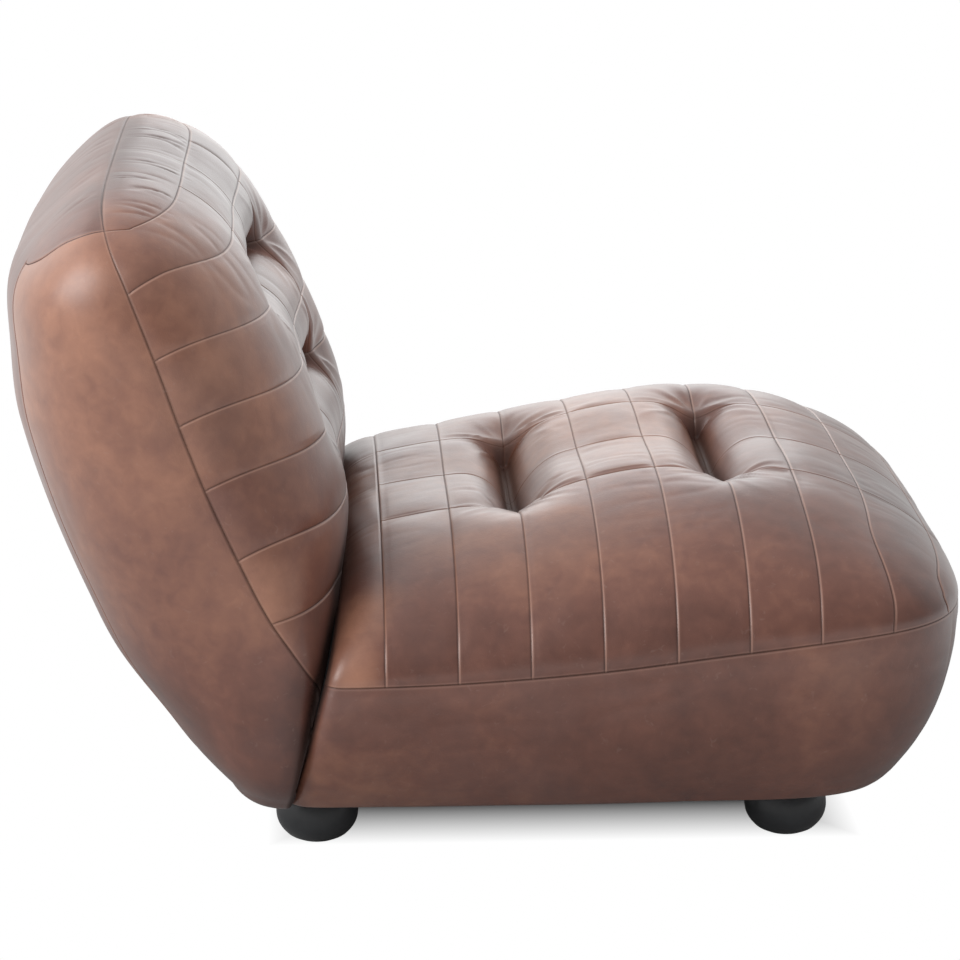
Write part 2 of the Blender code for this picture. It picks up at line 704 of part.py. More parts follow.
def foot_places():
    return [(side * FOOT_X, y) for y in (FRONT_FOOT_Y, REAR_FOOT_Y) for side in (-1.0, 1.0)]


def rear_frame_y(z):
    """Rear side of the seat frame, just inside the lining."""
    return rear_face_y(z) - FOAM_INSET


def build_seat_frame(wood, webbing):
    """Base boards, rails, tuft bars and webbing of the seat unit."""
    board_low = BASE_HEIGHT + FOAM_INSET
    board_top = board_low + BASE_BOARD
    rail_low = board_top + PIECE_GAP
    inner = FRAME_HALF_WIDTH - BASE_BOARD_WIDTH
    rear = rear_frame_y(board_top)
    corner_shares = (0.0, 0.25, 0.45, 0.65, 0.82, 1.0)
    curve_start = SEAT_CROWN_Y - (SEAT_CROWN_Y - FRAME_FRONT_Y) / 2.0
    curve = [curve_start + (FRONT_FOOT_Y - curve_start) * share for share in corner_shares]
    front_edge = FRAME_FRONT_Y + HEM_LANDING / 4.0
    for side, word in ((-1.0, "right"), (1.0, "left")):
        outline = [(side * inner, rear), (side * FRAME_HALF_WIDTH, rear)]
        outline += [(side * base_outline_x(y), y) for y in curve]
        outline += [(side * base_outline_x(front_edge), front_edge), (side * inner, front_edge)]
        bm = bmesh.new()
        prism(bm, outline, 2, board_low, board_top)
        board = make_object(f"seat_base_board_{word}", bm, wood)
        holes = [Matrix.Translation((x, y, board_low - OVERRUN)) for x, y in foot_places()
                 if x * side > 0.0]
        bore(board, f"cutter_base_board_{word}", holes, BOLT_RADIUS + BOLT_CLEARANCE,
             OVERRUN + FOOT_BOLT_BITE + BOLT_CLEARANCE)
        outline = [(rear_frame_y(rail_low), rail_low), (rear_frame_y(RAIL_TOP), RAIL_TOP),
                   (FRAME_FRONT_Y, RAIL_TOP), (FRAME_FRONT_Y, rail_low)]
        bm = bmesh.new()
        ends = sorted((side * FRAME_HALF_WIDTH, side * (FRAME_HALF_WIDTH - RAIL)))
        prism(bm, outline, 0, *ends)
        make_object(f"seat_side_rail_{word}", bm, wood)

    half = inner - PIECE_GAP
    for word, low_y, high_y in (("front", front_edge, front_edge + BASE_BOARD_WIDTH),
                                ("rear", rear - BASE_BOARD_WIDTH, rear)):
        bm = bmesh.new()
        box(bm, (-half, low_y, board_low), (half, high_y, board_top))
        make_object(f"seat_base_board_{word}", bm, wood)

    half = FRAME_HALF_WIDTH - RAIL - PIECE_GAP
    bm = bmesh.new()
    box(bm, (-half, FRAME_FRONT_Y, rail_low), (half, FRAME_FRONT_Y + RAIL, RAIL_TOP))
    make_object("seat_front_rail", bm, wood)
    outline = [(rear_frame_y(rail_low) - RAIL, rail_low), (rear_frame_y(rail_low), rail_low),
               (rear_frame_y(RAIL_TOP), RAIL_TOP), (rear_frame_y(RAIL_TOP) - RAIL, RAIL_TOP)]
    bm = bmesh.new()
    prism(bm, outline, 0, -half, half)
    rail = make_object("seat_rear_rail", bm, wood)
    bore(rail, "cutter_rear_rail", joining_places(-RAIL - OVERRUN), BOLT_RADIUS + BOLT_CLEARANCE,
         RAIL + 2.0 * OVERRUN)

    for row, word in zip(SEAT_TUFT_ROWS, ("rear", "front")):
        y = SEAT_REAR_SEAM_Y - SEAM_PITCH * row
        bm = bmesh.new()
        box(bm, (-half, y - TUFT_BAR_WIDTH / 2.0, RAIL_TOP - TUFT_BAR_DEPTH),
            (half, y + TUFT_BAR_WIDTH / 2.0, RAIL_TOP))
        make_object(f"seat_tuft_bar_{word}", bm, wood)

    low = RAIL_TOP + PIECE_GAP
    rows = [SEAT_REAR_SEAM_Y - SEAM_PITCH * row for row in reversed(SEAT_TUFT_ROWS)]
    ends = (FRAME_FRONT_Y + PIECE_GAP, rear_frame_y(DECK_HEIGHT) - PIECE_GAP)
    path = [(y, low) for y in (ends[0], *rows, ends[1])]
    webbing_panel("seat_webbing", path, SEAT_WEB_SHARES, FRAME_HALF_WIDTH - PIECE_GAP, webbing)


def build_seat_upholstery(body, leather, foam, lining):
    """Covers, foam blocks, linings and pull strips of the seat unit."""
    leather_panel("seat_top_cover", body, "top", leather)
    for side, word in ((-1.0, "right"), (1.0, "left")):
        panel = leather_panel(f"seat_side_panel_{word}", body, f"side_{word}", leather)
        holes = [Matrix.Translation((x, y, BASE_HEIGHT - OVERRUN)) for x, y in foot_places()
                 if x * side > 0.0]
        bore(panel, f"cutter_side_panel_{word}", holes, BOLT_RADIUS + BOLT_CLEARANCE, 2.0 * OVERRUN)
    leather_panel("seat_front_panel", body, "front", leather)

    wide = [plane_x(FRAME_HALF_WIDTH, 1.0), plane_x(-FRAME_HALF_WIDTH, -1.0)]
    deck = [plane_z(DECK_HEIGHT, -1.0)]
    rear_row, front_row = [SEAT_REAR_SEAM_Y - SEAM_PITCH * row for row in SEAT_TUFT_ROWS]
    foam_block("seat_foam_rear", body,
               wide + deck + [plane_y(rear_row + SLOT_HALF, -1.0)], foam)
    foam_block("seat_foam_middle", body,
               wide + deck + [plane_y(rear_row - SLOT_HALF, 1.0), plane_y(front_row + SLOT_HALF, -1.0)],
               foam)
    foam_block("seat_foam_front", body,
               wide + deck + [plane_y(front_row - SLOT_HALF, 1.0), plane_y(FRAME_FRONT_Y, -1.0)], foam)
    foam_block("seat_foam_nose", body, wide + [plane_y(FRAME_FRONT_Y - PIECE_GAP, 1.0)], foam)
    edge = FRAME_HALF_WIDTH + PIECE_GAP
    foam_block("seat_foam_side_right", body, [plane_x(-edge, 1.0)], foam)
    foam_block("seat_foam_side_left", body, [plane_x(edge, -1.0)], foam)

    inside = body.inside(FOAM_INSET)
    for row, word in zip(SEAT_TUFT_ROWS, ("rear", "front")):
        y = SEAT_REAR_SEAM_Y - SEAM_PITCH * row
        floor = [p for p in inside if abs(p.y - y) < LEATHER and p.z > RAIL_TOP
                 and abs(p.x) < TUFT_HALF_LENGTH + LEATHER]
        floor.sort(key=lambda p: p.x)
        top = [(p.x, p.z - 2.0 * PIECE_GAP) for p in floor]
        low = RAIL_TOP + PIECE_GAP
        outline = [(top[0][0], low)] + top + [(top[-1][0], low)]
        bm = bmesh.new()
        prism(bm, outline, 1, y - STRIP / 2.0, y + STRIP / 2.0)
        make_object(f"seat_pull_strip_{word}", bm, lining)

    rear_loop = next(face for face, label in zip(body.faces, body.panels) if label == "rear")
    points = [body.points[i] for i in rear_loop]
    centre = sum(points, Vector()) / len(points)
    keep_share = 1.0 - 8.0 * LEATHER / HALF_WIDTH
    outline = [centre + (p - centre) * keep_share for p in points]
    bm = bmesh.new()
    inward = Vector((0.0, -math.cos(LEAN_ANGLE), -math.sin(LEAN_ANGLE)))
    skins = [[bm.verts.new(p + inward * depth) for p in outline] for depth in (0.0, LINING)]
    bm.faces.new(skins[0])
    bm.faces.new(list(reversed(skins[1])))
    for i in range(len(outline)):
        j = (i + 1) % len(outline)
        bm.faces.new((skins[0][i], skins[1][i], skins[1][j], skins[0][j]))
    panel = make_object("seat_rear_lining", bm, lining)
    bore(panel, "cutter_rear_lining", joining_places(-OVERRUN), BOLT_RADIUS + BOLT_CLEARANCE,
         2.0 * OVERRUN)

    underside = next(face for face, label in zip(body.faces, body.panels) if label == "underside")
    overlap_share = 1.0 + HEM_LANDING / FRAME_HALF_WIDTH / 2.0
    middle_y = (REAR_FACE_Y + FRAME_FRONT_Y) / 2.0
    outline = []
    for i in underside[::2]:
        x, y = body.points[i].x, body.points[i].y
        y = min(middle_y + (y - middle_y) * overlap_share, rear_face_y(BASE_HEIGHT) - LEATHER)
        outline.append((x * overlap_share, y))
    bm = bmesh.new()
    top = BASE_HEIGHT - PIECE_GAP
    prism(bm, outline, 2, top - LINING, top)
    bmesh.ops.dissolve_limit(bm, angle_limit=math.radians(0.5), verts=bm.verts, edges=bm.edges)
    cloth = make_object("seat_dust_cover", bm, lining)
    holes = [Matrix.Translation((x, y, top - OVERRUN)) for x, y in foot_places()]
    bore(cloth, "cutter_dust_cover", holes, BOLT_RADIUS + BOLT_CLEARANCE, 2.0 * OVERRUN)


def joining_places(start):
    """Axes of the bolts through the leaning face, each starting at a depth."""
    places = []
    z = JOINING_BOLT_HEIGHT
    for side in (-1.0, 1.0):
        seat = Matrix.Translation((side * JOINING_BOLT_X, rear_face_y(z), z))
        turn = Matrix.Rotation(LEAN_ANGLE - math.pi / 2.0, 4, "X")
        places.append(seat @ turn @ Matrix.Translation((0.0, 0.0, start)))
    return places


# Lines of the back's frame, as (y, z) points
def front_line(z):
    """Front of the back's frame, which the webbing lies on."""
    return (REAR_FACE_Y + BACK_DEPTH * back_frame_front_share(z / BACK_HEIGHT), z)


def rear_line(z):
    """Rear of the back's frame."""
    return (REAR_FACE_Y + BACK_DEPTH * back_frame_rear_share(z / BACK_HEIGHT), z)


BACK_FRAME_FRONT_SHARES = [(0.268, -0.068), (0.590, 0.089), (0.785, 0.254), (0.870, 0.318)]
BACK_FRAME_REAR_SHARES = [(0.105, 0.150), (0.403, 0.508), (0.870, 0.587)]


def straight_curve(points):
    """A function that runs straight from point to point."""
    places, values = np.array(points).T
    return lambda place: float(np.interp(place, places, values))


back_frame_front_share = straight_curve(BACK_FRAME_FRONT_SHARES)
back_frame_rear_share = straight_curve(BACK_FRAME_REAR_SHARES)


def low_front_y(z):
    """Front of the lowest rail, just behind the leather of the back."""
    return rear_face_y(z) + UNIT_GAP + LEATHER + 2.0 * PIECE_GAP


def tuft_heights():
    return [BACK_HEIGHT * BACK_CROSS_SEAM_SHARES[row] for row in BACK_TUFT_ROWS]


def build_back_frame(wood, webbing):
    """Uprights, rails, tuft bars and webbing of the back unit."""
    step = WEB + PIECE_GAP
    upper, lower = tuft_heights()
    breaks = (LOW_RAIL_TOP + OVERRUN, lower, upper, UPRIGHT_TOP)
    front = [(front_line(z)[0] + step + PIECE_GAP, z) for z in breaks]
    low_z = (UPRIGHT_FOOT, LOW_RAIL_TOP)
    outline = [(low_front_y(z) + UPRIGHT_SETBACK, z) for z in low_z] + front
    corner_z = BACK_HEIGHT * BACK_FRAME_REAR_SHARES[1][0]
    outline += [rear_line(z) for z in (UPRIGHT_TOP, corner_z, UPRIGHT_FOOT)]
    for side, word in ((-1.0, "right"), (1.0, "left")):
        bm = bmesh.new()
        ends = sorted((side * UPRIGHT_OUTER_X, side * (UPRIGHT_OUTER_X - UPRIGHT)))
        prism(bm, outline, 0, *ends)
        make_object(f"back_upright_{word}", bm, wood)

    half = UPRIGHT_OUTER_X - UPRIGHT - PIECE_GAP
    rail_z = (UPRIGHT_FOOT, LOW_RAIL_TOP)
    outline = [(low_front_y(z), z) for z in rail_z]
    outline += [(low_front_y(z) + RAIL, z) for z in reversed(rail_z)]
    bm = bmesh.new()
    prism(bm, outline, 0, -half, half)
    rail = make_object("back_bottom_rail", bm, wood)
    bore(rail, "cutter_bottom_rail", joining_places(-OVERRUN), BOLT_RADIUS + BOLT_CLEARANCE,
         RAIL + 3.0 * OVERRUN)

    bm = bmesh.new()
    box(bm, (-half, front_line(UPRIGHT_TOP)[0] + step, UPRIGHT_TOP - RAIL),
        (half, front_line(UPRIGHT_TOP)[0] + step + BACK_RAIL_WIDTH, UPRIGHT_TOP))
    make_object("back_top_rail", bm, wood)

    for z, word in zip(tuft_heights(), ("upper", "lower")):
        y = front_line(z + TUFT_BAR_WIDTH / 2.0)[0] + step
        bm = bmesh.new()
        box(bm, (-half, y, z - TUFT_BAR_WIDTH / 2.0),
            (half, y + TUFT_BAR_DEPTH, z + TUFT_BAR_WIDTH / 2.0))
        make_object(f"back_tuft_bar_{word}", bm, wood)

    path = [front_line(z) for z in breaks[:-1] + (UPRIGHT_TOP - 2.0 * WEB,)]
    path = [(y + step, z) for y, z in path]
    webbing_panel("back_webbing", path, BACK_WEB_SHARES, UPRIGHT_OUTER_X - PIECE_GAP, webbing)


def build_back_upholstery(body, leather, foam, lining):
    """Covers, foam blocks, underside and pull strips of the back unit."""
    front = leather_panel("back_front_cover", body, "front", leather)
    bore(front, "cutter_front_cover", joining_places(-OVERRUN), BOLT_RADIUS + BOLT_CLEARANCE,
         2.0 * OVERRUN)
    leather_panel("back_rear_cover", body, "rear", leather)
    leather_panel("back_side_panel_right", body, "side_right", leather)
    leather_panel("back_side_panel_left", body, "side_left", leather)

    wide = [plane_x(UPRIGHT_OUTER_X, 1.0), plane_x(-UPRIGHT_OUTER_X, -1.0)]
    upper, lower = tuft_heights()
    foot = LOW_RAIL_TOP + OVERRUN
    foam_block("back_foam_upper", body,
               wide + [plane_through(front_line(upper), front_line(UPRIGHT_TOP), 1.0),
                       plane_z(upper + SLOT_HALF, -1.0), plane_z(UPRIGHT_TOP, 1.0)], foam)
    foam_block("back_foam_middle", body,
               wide + [plane_through(front_line(lower), front_line(upper), 1.0),
                       plane_z(lower + SLOT_HALF, -1.0), plane_z(upper - SLOT_HALF, 1.0)], foam)
    foam_block("back_foam_lower", body,
               wide + [plane_through(front_line(foot), front_line(lower), 1.0),
                       plane_z(foot, -1.0), plane_z(lower - SLOT_HALF, 1.0)], foam)
    foam_block("back_foam_top", body, wide + [plane_z(UPRIGHT_TOP + PIECE_GAP, -1.0)], foam)
    corner_z = BACK_HEIGHT * BACK_FRAME_REAR_SHARES[1][0]
    shift = Vector((0.0, PIECE_GAP * 2.0, 0.0))
    for word, low, high in (("upper", corner_z, UPRIGHT_TOP), ("lower", UPRIGHT_FOOT, corner_z)):
        point, away = plane_through(rear_line(low), rear_line(high), -1.0)
        foam_block(f"back_foam_rear_{word}", body,
                   wide + [(point + shift, away), plane_z(low + PIECE_GAP, -1.0), plane_z(high, 1.0)],
                   foam)
    edge = UPRIGHT_OUTER_X + PIECE_GAP
    foam_block("back_foam_side_right", body, [plane_x(-edge, 1.0)], foam)
    foam_block("back_foam_side_left", body, [plane_x(edge, -1.0)], foam)

    inside = body.inside(FOAM_INSET)
    shares = column_shares()
    rows = back_row_heights()
    for z, word in zip(tuft_heights(), ("upper", "lower")):
        i = int(np.argmin([abs(row - z) for row in rows]))
        line = inside[i * len(shares):(i + 1) * len(shares)]
        floor = [p for p in line if abs(p.x) < TUFT_HALF_LENGTH + LEATHER]
        deep = front_line(z + TUFT_BAR_WIDTH / 2.0)[0] + WEB
        outline = [(p.x, p.y + 2.0 * PIECE_GAP) for p in floor]
        outline = [(outline[0][0], deep)] + outline + [(outline[-1][0], deep)]
        bm = bmesh.new()
        prism(bm, outline, 2, z - STRIP / 2.0, z + STRIP / 2.0)
        make_object(f"back_pull_strip_{word}", bm, lining)

    edge = body.inside(LEATHER / 2.0)
    first_rear = len(rows) * len(shares)
    outline = edge[:len(shares)] + edge[first_rear:first_rear + len(shares) - 2][::-1]
    bm = bmesh.new()
    top = BASE_HEIGHT - PIECE_GAP
    prism(bm, [(p.x, p.y) for p in outline], 2, top - LINING, top)
    bmesh.ops.dissolve_limit(bm, angle_limit=math.radians(0.5), verts=bm.verts, edges=bm.edges)
    make_object("back_bottom_cloth", bm, lining)


def build_feet(black_wood, steel):
    """Turned bun feet and the bolts that hold them."""
    top = BASE_HEIGHT - PIECE_GAP - LINING - PIECE_GAP
    bun_shares = [(0.0, 0.52), (0.05, 0.67), (0.14, 0.82), (0.26, 0.94), (0.42, 1.0), (0.58, 0.985),
                  (0.74, 0.92), (0.87, 0.80), (0.96, 0.66), (1.0, 0.60)]
    hole = BOLT_RADIUS + BOLT_CLEARANCE
    profile = [(0.0, 0.0)]
    profile += [(FOOT_RADIUS * radius, top * share) for share, radius in bun_shares]
    profile += [(hole, top), (hole, FOOT_BOLT_BOTTOM - PIECE_GAP), (0.0, FOOT_BOLT_BOTTOM - PIECE_GAP)]
    bolt_top = BASE_HEIGHT + FOAM_INSET + FOOT_BOLT_BITE
    rod = [(0.0, FOOT_BOLT_BOTTOM), (BOLT_RADIUS, FOOT_BOLT_BOTTOM), (BOLT_RADIUS, bolt_top),
           (0.0, bolt_top)]
    words = ("front_right", "front_left", "rear_right", "rear_left")
    for word, (x, y) in zip(words, foot_places()):
        matrix = Matrix.Translation((x, y, 0.0))
        for name, outline, steps, material in ((f"foot_{word}", profile, FOOT_STEPS, black_wood),
                                               (f"foot_bolt_{word}", rod, ROUND_STEPS, steel)):
            bm = bmesh.new()
            turned(bm, outline, steps, matrix)
            piece = make_object(name, bm, material)
            piece.data.shade_smooth()
            piece.data.set_sharp_from_angle(angle=math.radians(40.0))


def build_joining_hardware(steel):
    """Bolts and flanged nuts that hold the back unit to the seat unit."""
    cos = math.cos(LEAN_ANGLE)
    face = (low_front_y(0.0) - rear_face_y(0.0) + RAIL) * cos + PIECE_GAP
    head = -(FOAM_INSET + RAIL) * cos - PIECE_GAP
    tail = face + FLANGE + NUT + BOLT_TAIL
    hole = BOLT_RADIUS + BOLT_CLEARANCE
    bolt = [(0.0, head - BOLT_HEAD), (BOLT_HEAD_RADIUS, head - BOLT_HEAD / 2.0),
            (BOLT_HEAD_RADIUS, head), (BOLT_RADIUS, head), (BOLT_RADIUS, tail), (0.0, tail)]
    nut = [(hole, face), (FLANGE_RADIUS, face), (FLANGE_RADIUS, face + FLANGE),
           (NUT_RADIUS, face + FLANGE), (NUT_RADIUS, face + FLANGE + NUT), (hole, face + FLANGE + NUT)]
    for axis, word in zip(joining_places(0.0), ("right", "left")):
        bm = bmesh.new()
        turned(bm, bolt, ROUND_STEPS, axis)
        make_object(f"joining_bolt_{word}", bm, steel)
        bm = bmesh.new()
        turned(bm, nut, NUT_STEPS, axis, ring=True)
        make_object(f"joining_nut_{word}", bm, steel)


def main():
    for item in list(bpy.data.objects):
        bpy.data.objects.remove(item)
    leather = make_material("brown_leather", (0.24, 0.12, 0.09), 0.42)
    foam = make_material("cream_foam", (0.80, 0.72, 0.52), 0.95)
    lining = make_material("black_lining", (0.03, 0.03, 0.03), 0.90)
    wood = make_material("beech", (0.62, 0.44, 0.27), 0.60)
    webbing = make_material("woven_webbing", (0.18, 0.14, 0.10), 0.85)
    black_wood = make_material("black_turned_wood", (0.018, 0.018, 0.020), 0.35)
    steel = make_material("zinc_steel", (0.60, 0.60, 0.58), 0.35, 1.0)
    seat = seat_body()
    build_seat_upholstery(seat, leather, foam, lining)
    build_seat_frame(wood, webbing)
    back = back_body()
    build_back_upholstery(back, leather, foam, lining)
    build_back_frame(wood, webbing)
    build_feet(black_wood, steel)
    build_joining_hardware(steel)


main()
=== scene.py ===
# %% [markdown]
# # An armless lounge chair in tufted, aged leather
# The real chair is two padded units, a seat and a reclined back, each covered with sewn patches
# of leather and drawn in by two deep tufts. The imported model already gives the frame, the foam
# and plain covers. This file dresses it: it lays a fine skin for each cut panel of leather,
# turns smooth feet, and gives every surface a procedural finish.

# %% Load the frame
import json
import math

import bpy
import numpy as np
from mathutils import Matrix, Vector


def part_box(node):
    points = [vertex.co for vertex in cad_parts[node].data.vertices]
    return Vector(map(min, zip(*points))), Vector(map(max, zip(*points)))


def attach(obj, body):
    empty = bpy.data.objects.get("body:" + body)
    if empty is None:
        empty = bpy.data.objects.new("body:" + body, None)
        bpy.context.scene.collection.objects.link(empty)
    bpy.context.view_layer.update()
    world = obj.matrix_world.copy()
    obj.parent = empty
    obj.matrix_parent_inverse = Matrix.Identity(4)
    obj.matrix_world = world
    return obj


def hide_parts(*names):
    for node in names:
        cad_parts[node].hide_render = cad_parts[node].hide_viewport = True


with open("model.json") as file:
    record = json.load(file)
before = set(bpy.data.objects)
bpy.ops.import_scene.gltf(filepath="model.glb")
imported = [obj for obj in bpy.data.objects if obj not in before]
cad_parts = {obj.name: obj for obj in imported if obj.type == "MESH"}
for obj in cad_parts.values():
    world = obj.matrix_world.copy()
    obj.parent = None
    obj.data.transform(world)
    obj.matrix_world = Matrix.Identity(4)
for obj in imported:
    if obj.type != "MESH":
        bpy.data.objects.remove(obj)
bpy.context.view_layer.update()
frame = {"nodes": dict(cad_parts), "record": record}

# %% [markdown]
# ## Sizes of the two units
# Each unit's outline is drawn as the upholsterer's template is: a few points, joined by a smooth
# line. They are the frame's own outlines, repeated here so that the fine skin lies where the
# plain cover is. The seat's front is towards -Y, and the sitter's right is towards -X.

# %% Outlines of the units
HALF_WIDTH = 0.430
BASE_HEIGHT = 0.068
SEAT_FRONT_Y = -0.5267
SEAT_CROWN_Y = -0.1517
SEAT_HEIGHT = 0.402
REAR_FACE_Y = 0.2203
REAR_FACE_LEAN = 0.25
SEAT_LENGTH = REAR_FACE_Y - SEAT_FRONT_Y
REAR_SEAM_Y = 0.1183
SEAM_PITCH = 0.0775
SEAT_SEAMS = 9
BACK_HEIGHT = 0.743
BACK_CROWN = 0.500
BACK_DEPTH = 0.315
LEATHER = 0.0018
TUFT_HALF_LENGTH = 0.155
TUFT_SHARE = TUFT_HALF_LENGTH / HALF_WIDTH

SEAT_TOP = [(-0.10, 0.725), (0.14, 0.816), (0.24, 0.857), (0.45, 0.940), (0.55, 0.973),
            (0.70, 1.000), (0.90, 1.000), (1.05, 1.010)]
SEAT_SIDE_SEAM = [(-0.10, 0.544), (0.25, 0.553), (0.45, 0.580), (0.656, 0.626), (0.854, 0.662),
                  (0.946, 0.668), (1.0, 0.668)]
BACK_FRONT = [(0.0, 0.010), (0.074, -0.045), (0.162, -0.100), (0.243, -0.150), (0.323, -0.195),
              (0.404, -0.213), (0.485, -0.219), (0.593, -0.156), (0.691, -0.070), (0.795, 0.022),
              (0.900, 0.095), (1.03, 0.168)]
BACK_REAR = [(0.0, 0.040), (0.081, 0.212), (0.135, 0.335), (0.216, 0.488), (0.303, 0.626),
             (0.404, 0.730), (0.526, 0.840), (0.674, 0.938), (0.782, 0.985), (0.890, 1.0),
             (1.03, 0.990)]
BACK_SIDE_SEAM = [(0.0, 0.0), (0.091, -0.010), (0.135, -0.050), (0.229, -0.130), (0.275, -0.092),
                  (0.321, -0.035), (0.384, 0.054), (0.480, 0.159), (0.580, 0.257), (0.679, 0.340),
                  (0.778, 0.416), (0.876, 0.500), (0.970, 0.590), (1.03, 0.630)]
BACK_CROSS_SEAMS = (0.383, 0.482, 0.590, 0.687, 0.785, 0.886, 0.966)


def smooth_curve(points):
    """A smooth function through (place, value) points."""
    places, values = np.array(sorted(points)).T
    slopes = np.gradient(values, places)

    def value_at(place):
        place = np.clip(place, places[0], places[-1])
        i = np.clip(np.searchsorted(places, place) - 1, 0, len(places) - 2)
        span = places[i + 1] - places[i]
        f = (place - places[i]) / span
        rise = (3.0 - 2.0 * f) * f * f
        lift = slopes[i] * f * (1.0 - f) ** 2 - slopes[i + 1] * f * f * (1.0 - f)
        return values[i] + (values[i + 1] - values[i]) * rise + span * lift

    return value_at


seat_top_share, seat_seam_share = smooth_curve(SEAT_TOP), smooth_curve(SEAT_SIDE_SEAM)
back_front_share, back_rear_share = smooth_curve(BACK_FRONT), smooth_curve(BACK_REAR)
back_seam_share = smooth_curve(BACK_SIDE_SEAM)
print("seat crown at", round(SEAT_HEIGHT * float(seat_top_share(0.70)), 3), "m")

# %% [markdown]
# ## Rounded sections
# Foam under tight leather never makes a box. Across each unit the section is a superellipse,
# flat in the middle and quick to turn at the edge, and the same rule rounds the corners seen
# from above. Ramps and smooth steps say where a form begins and over what span it grows.

# %% Section helpers
CORNER_POWER = 5.0
ROLL_SPAN = 0.16
ROLL_LEAST = 0.3
ROLL_ROUNDNESS = 0.98


def ramp(value, start=0.0, span=1.0):
    """From 0 at the start to 1 one span further on. With a negative span it grows downwards."""
    return np.clip((value - start) / span, 0.0, 1.0)


def smooth_step(value, start=0.0, span=1.0):
    """A ramp with soft ends."""
    value = ramp(value, start, span)
    return value * value * (3.0 - 2.0 * value)


def fade(distance, reach, power=2.0):
    """A smooth hollow that fades with distance."""
    return np.exp(-(np.abs(distance) / reach) ** power)


def round_off(share, power, root=None):
    """Height of a rounded section at a share of its half width."""
    return (1.0 - ramp(np.abs(share)) ** power) ** (1.0 / (root or power))


def rear_face_y(z):
    """The leaning plane where the two units meet."""
    return REAR_FACE_Y - REAR_FACE_LEAN * (z - BASE_HEIGHT)


def roll_edge(points, radius, slot):
    """Round the upright edges beside the gap between the two units, less towards the base."""
    opened = smooth_step(points[..., 2], BASE_HEIGHT, ROLL_SPAN)
    radius = radius * (ROLL_LEAST + (1.0 - ROLL_LEAST) * opened)
    aside = np.abs(points[..., 1] - rear_face_y(points[..., 2]))
    near = 1.0 - ramp(np.maximum(aside - slot * opened, 0.0) / radius)
    inset = radius * (1.0 - np.sqrt(1.0 - near * near * ROLL_ROUNDNESS))
    points[..., 0] *= 1.0 - inset / HALF_WIDTH
    return points


# %% [markdown]
# ## Corners of the grid
# Each surface starts as a square grid. Its far corners slide along the outline and are bent to
# the rounded shape. The lines would crease the skin where they turn, so their shift is eased on
# an even grid, while every point keeps its distance from the outline.

# %% Corner helpers
SLIDE_POWER = 8
PULL_POWER = 3
EVEN_GRID = (150, 190)
EASE_PASSES = 110
LAST_PASSES = 3
EASE_EDGE = 0.040
KEEP_SIZE = (0.60, 0.34)


def slide_corner(across, along, slide, start, rise_span, peak, fall_span):
    """Slide the grid's corner along the outline, so that cross seams end on the shoulder."""
    reach = np.maximum(np.maximum(np.abs(across), along), 1e-9)
    turn = np.where(along > np.abs(across), 2.0 - np.abs(across) / reach, along / reach)
    shift = smooth_step(turn, start, rise_span) * (1.0 - smooth_step(turn, peak, fall_span))
    turn = turn + slide * np.minimum(reach, 1.0) ** SLIDE_POWER * shift
    new_across = np.sign(across) * reach * ramp(2.0 - turn)
    new_along = reach * np.minimum(turn, 1.0)
    return np.where(shift > 0.0, new_across, across), np.where(shift > 0.0, new_along, along)


def rounded_place(across, along):
    """Bend a square grid so that its far corners follow a rounded outline."""
    forward = np.maximum(along, 0.0)
    reach = np.maximum(np.maximum(np.abs(across), forward), 1e-9)
    corner = (np.abs(across) / reach) ** CORNER_POWER + (forward / reach) ** CORNER_POWER
    pull = 1.0 + (corner ** (-1.0 / CORNER_POWER) - 1.0) * reach ** PULL_POWER
    pull = np.where(along > 0.0, pull, 1.0)
    return across * pull, np.where(along > 0.0, along * pull, along)


def smooth_grid(grid, passes):
    """Spread every value towards its neighbours, but hold the grid's border."""
    for _ in range(passes):
        grid[:, 1:-1] += 0.25 * (grid[:, :-2] + grid[:, 2:] - 2.0 * grid[:, 1:-1])
        grid[1:-1] += 0.25 * (grid[:-2] + grid[2:] - 2.0 * grid[1:-1])
    return grid


def resample(grid, places, wanted):
    """Values of a grid at other places of its rows and columns."""
    rows = np.stack([np.interp(wanted[0], places[0], column) for column in grid.T], axis=1)
    return np.stack([np.interp(wanted[1], places[1], line) for line in rows], axis=0)


def ease(values, plain, flat, ahead, passes=EASE_PASSES):
    """Smooth how far values were moved from their plain ones, but keep the outline."""
    if values.ndim < 2:
        return values
    shift = values - plain
    places = (ahead[:, ahead.shape[1] // 2], flat[0])
    even = [np.linspace(line[0], line[-1], count) for line, count in zip(places, EVEN_GRID)]
    soft = smooth_grid(resample(shift, places, even), passes)
    soft = smooth_grid(resample(soft, even, places), LAST_PASSES)
    edge = ramp(1.0 - np.maximum(np.abs(flat), ahead), 0.0, EASE_EDGE)
    return plain + edge * soft + (1.0 - edge) * shift


def corner_size(across, along):
    """Share of the way from the middle to the rounded outline."""
    total = np.abs(across) ** CORNER_POWER + np.maximum(along, 0.0) ** CORNER_POWER
    return total ** (1.0 / CORNER_POWER)


def round_corner(flat, ahead, slide, passes):
    """Fit the square grid to the rounded outline, with no bend where its lines turn."""
    across, along = rounded_place(*slide_corner(flat, ahead, *slide))
    if flat.ndim < 2:
        return across, along
    wanted = ease(corner_size(across, along), 0.0 * flat, flat, ahead, passes)
    across, along = ease(across, flat, flat, ahead), ease(along, ahead, flat, ahead)
    near = smooth_step(np.maximum(np.abs(flat), ahead), *KEEP_SIZE)
    grow = 1.0 + near * (wanted / np.maximum(corner_size(across, along), 1e-3) - 1.0)
    return across * grow, np.where(along > 0.0, along * grow, along)


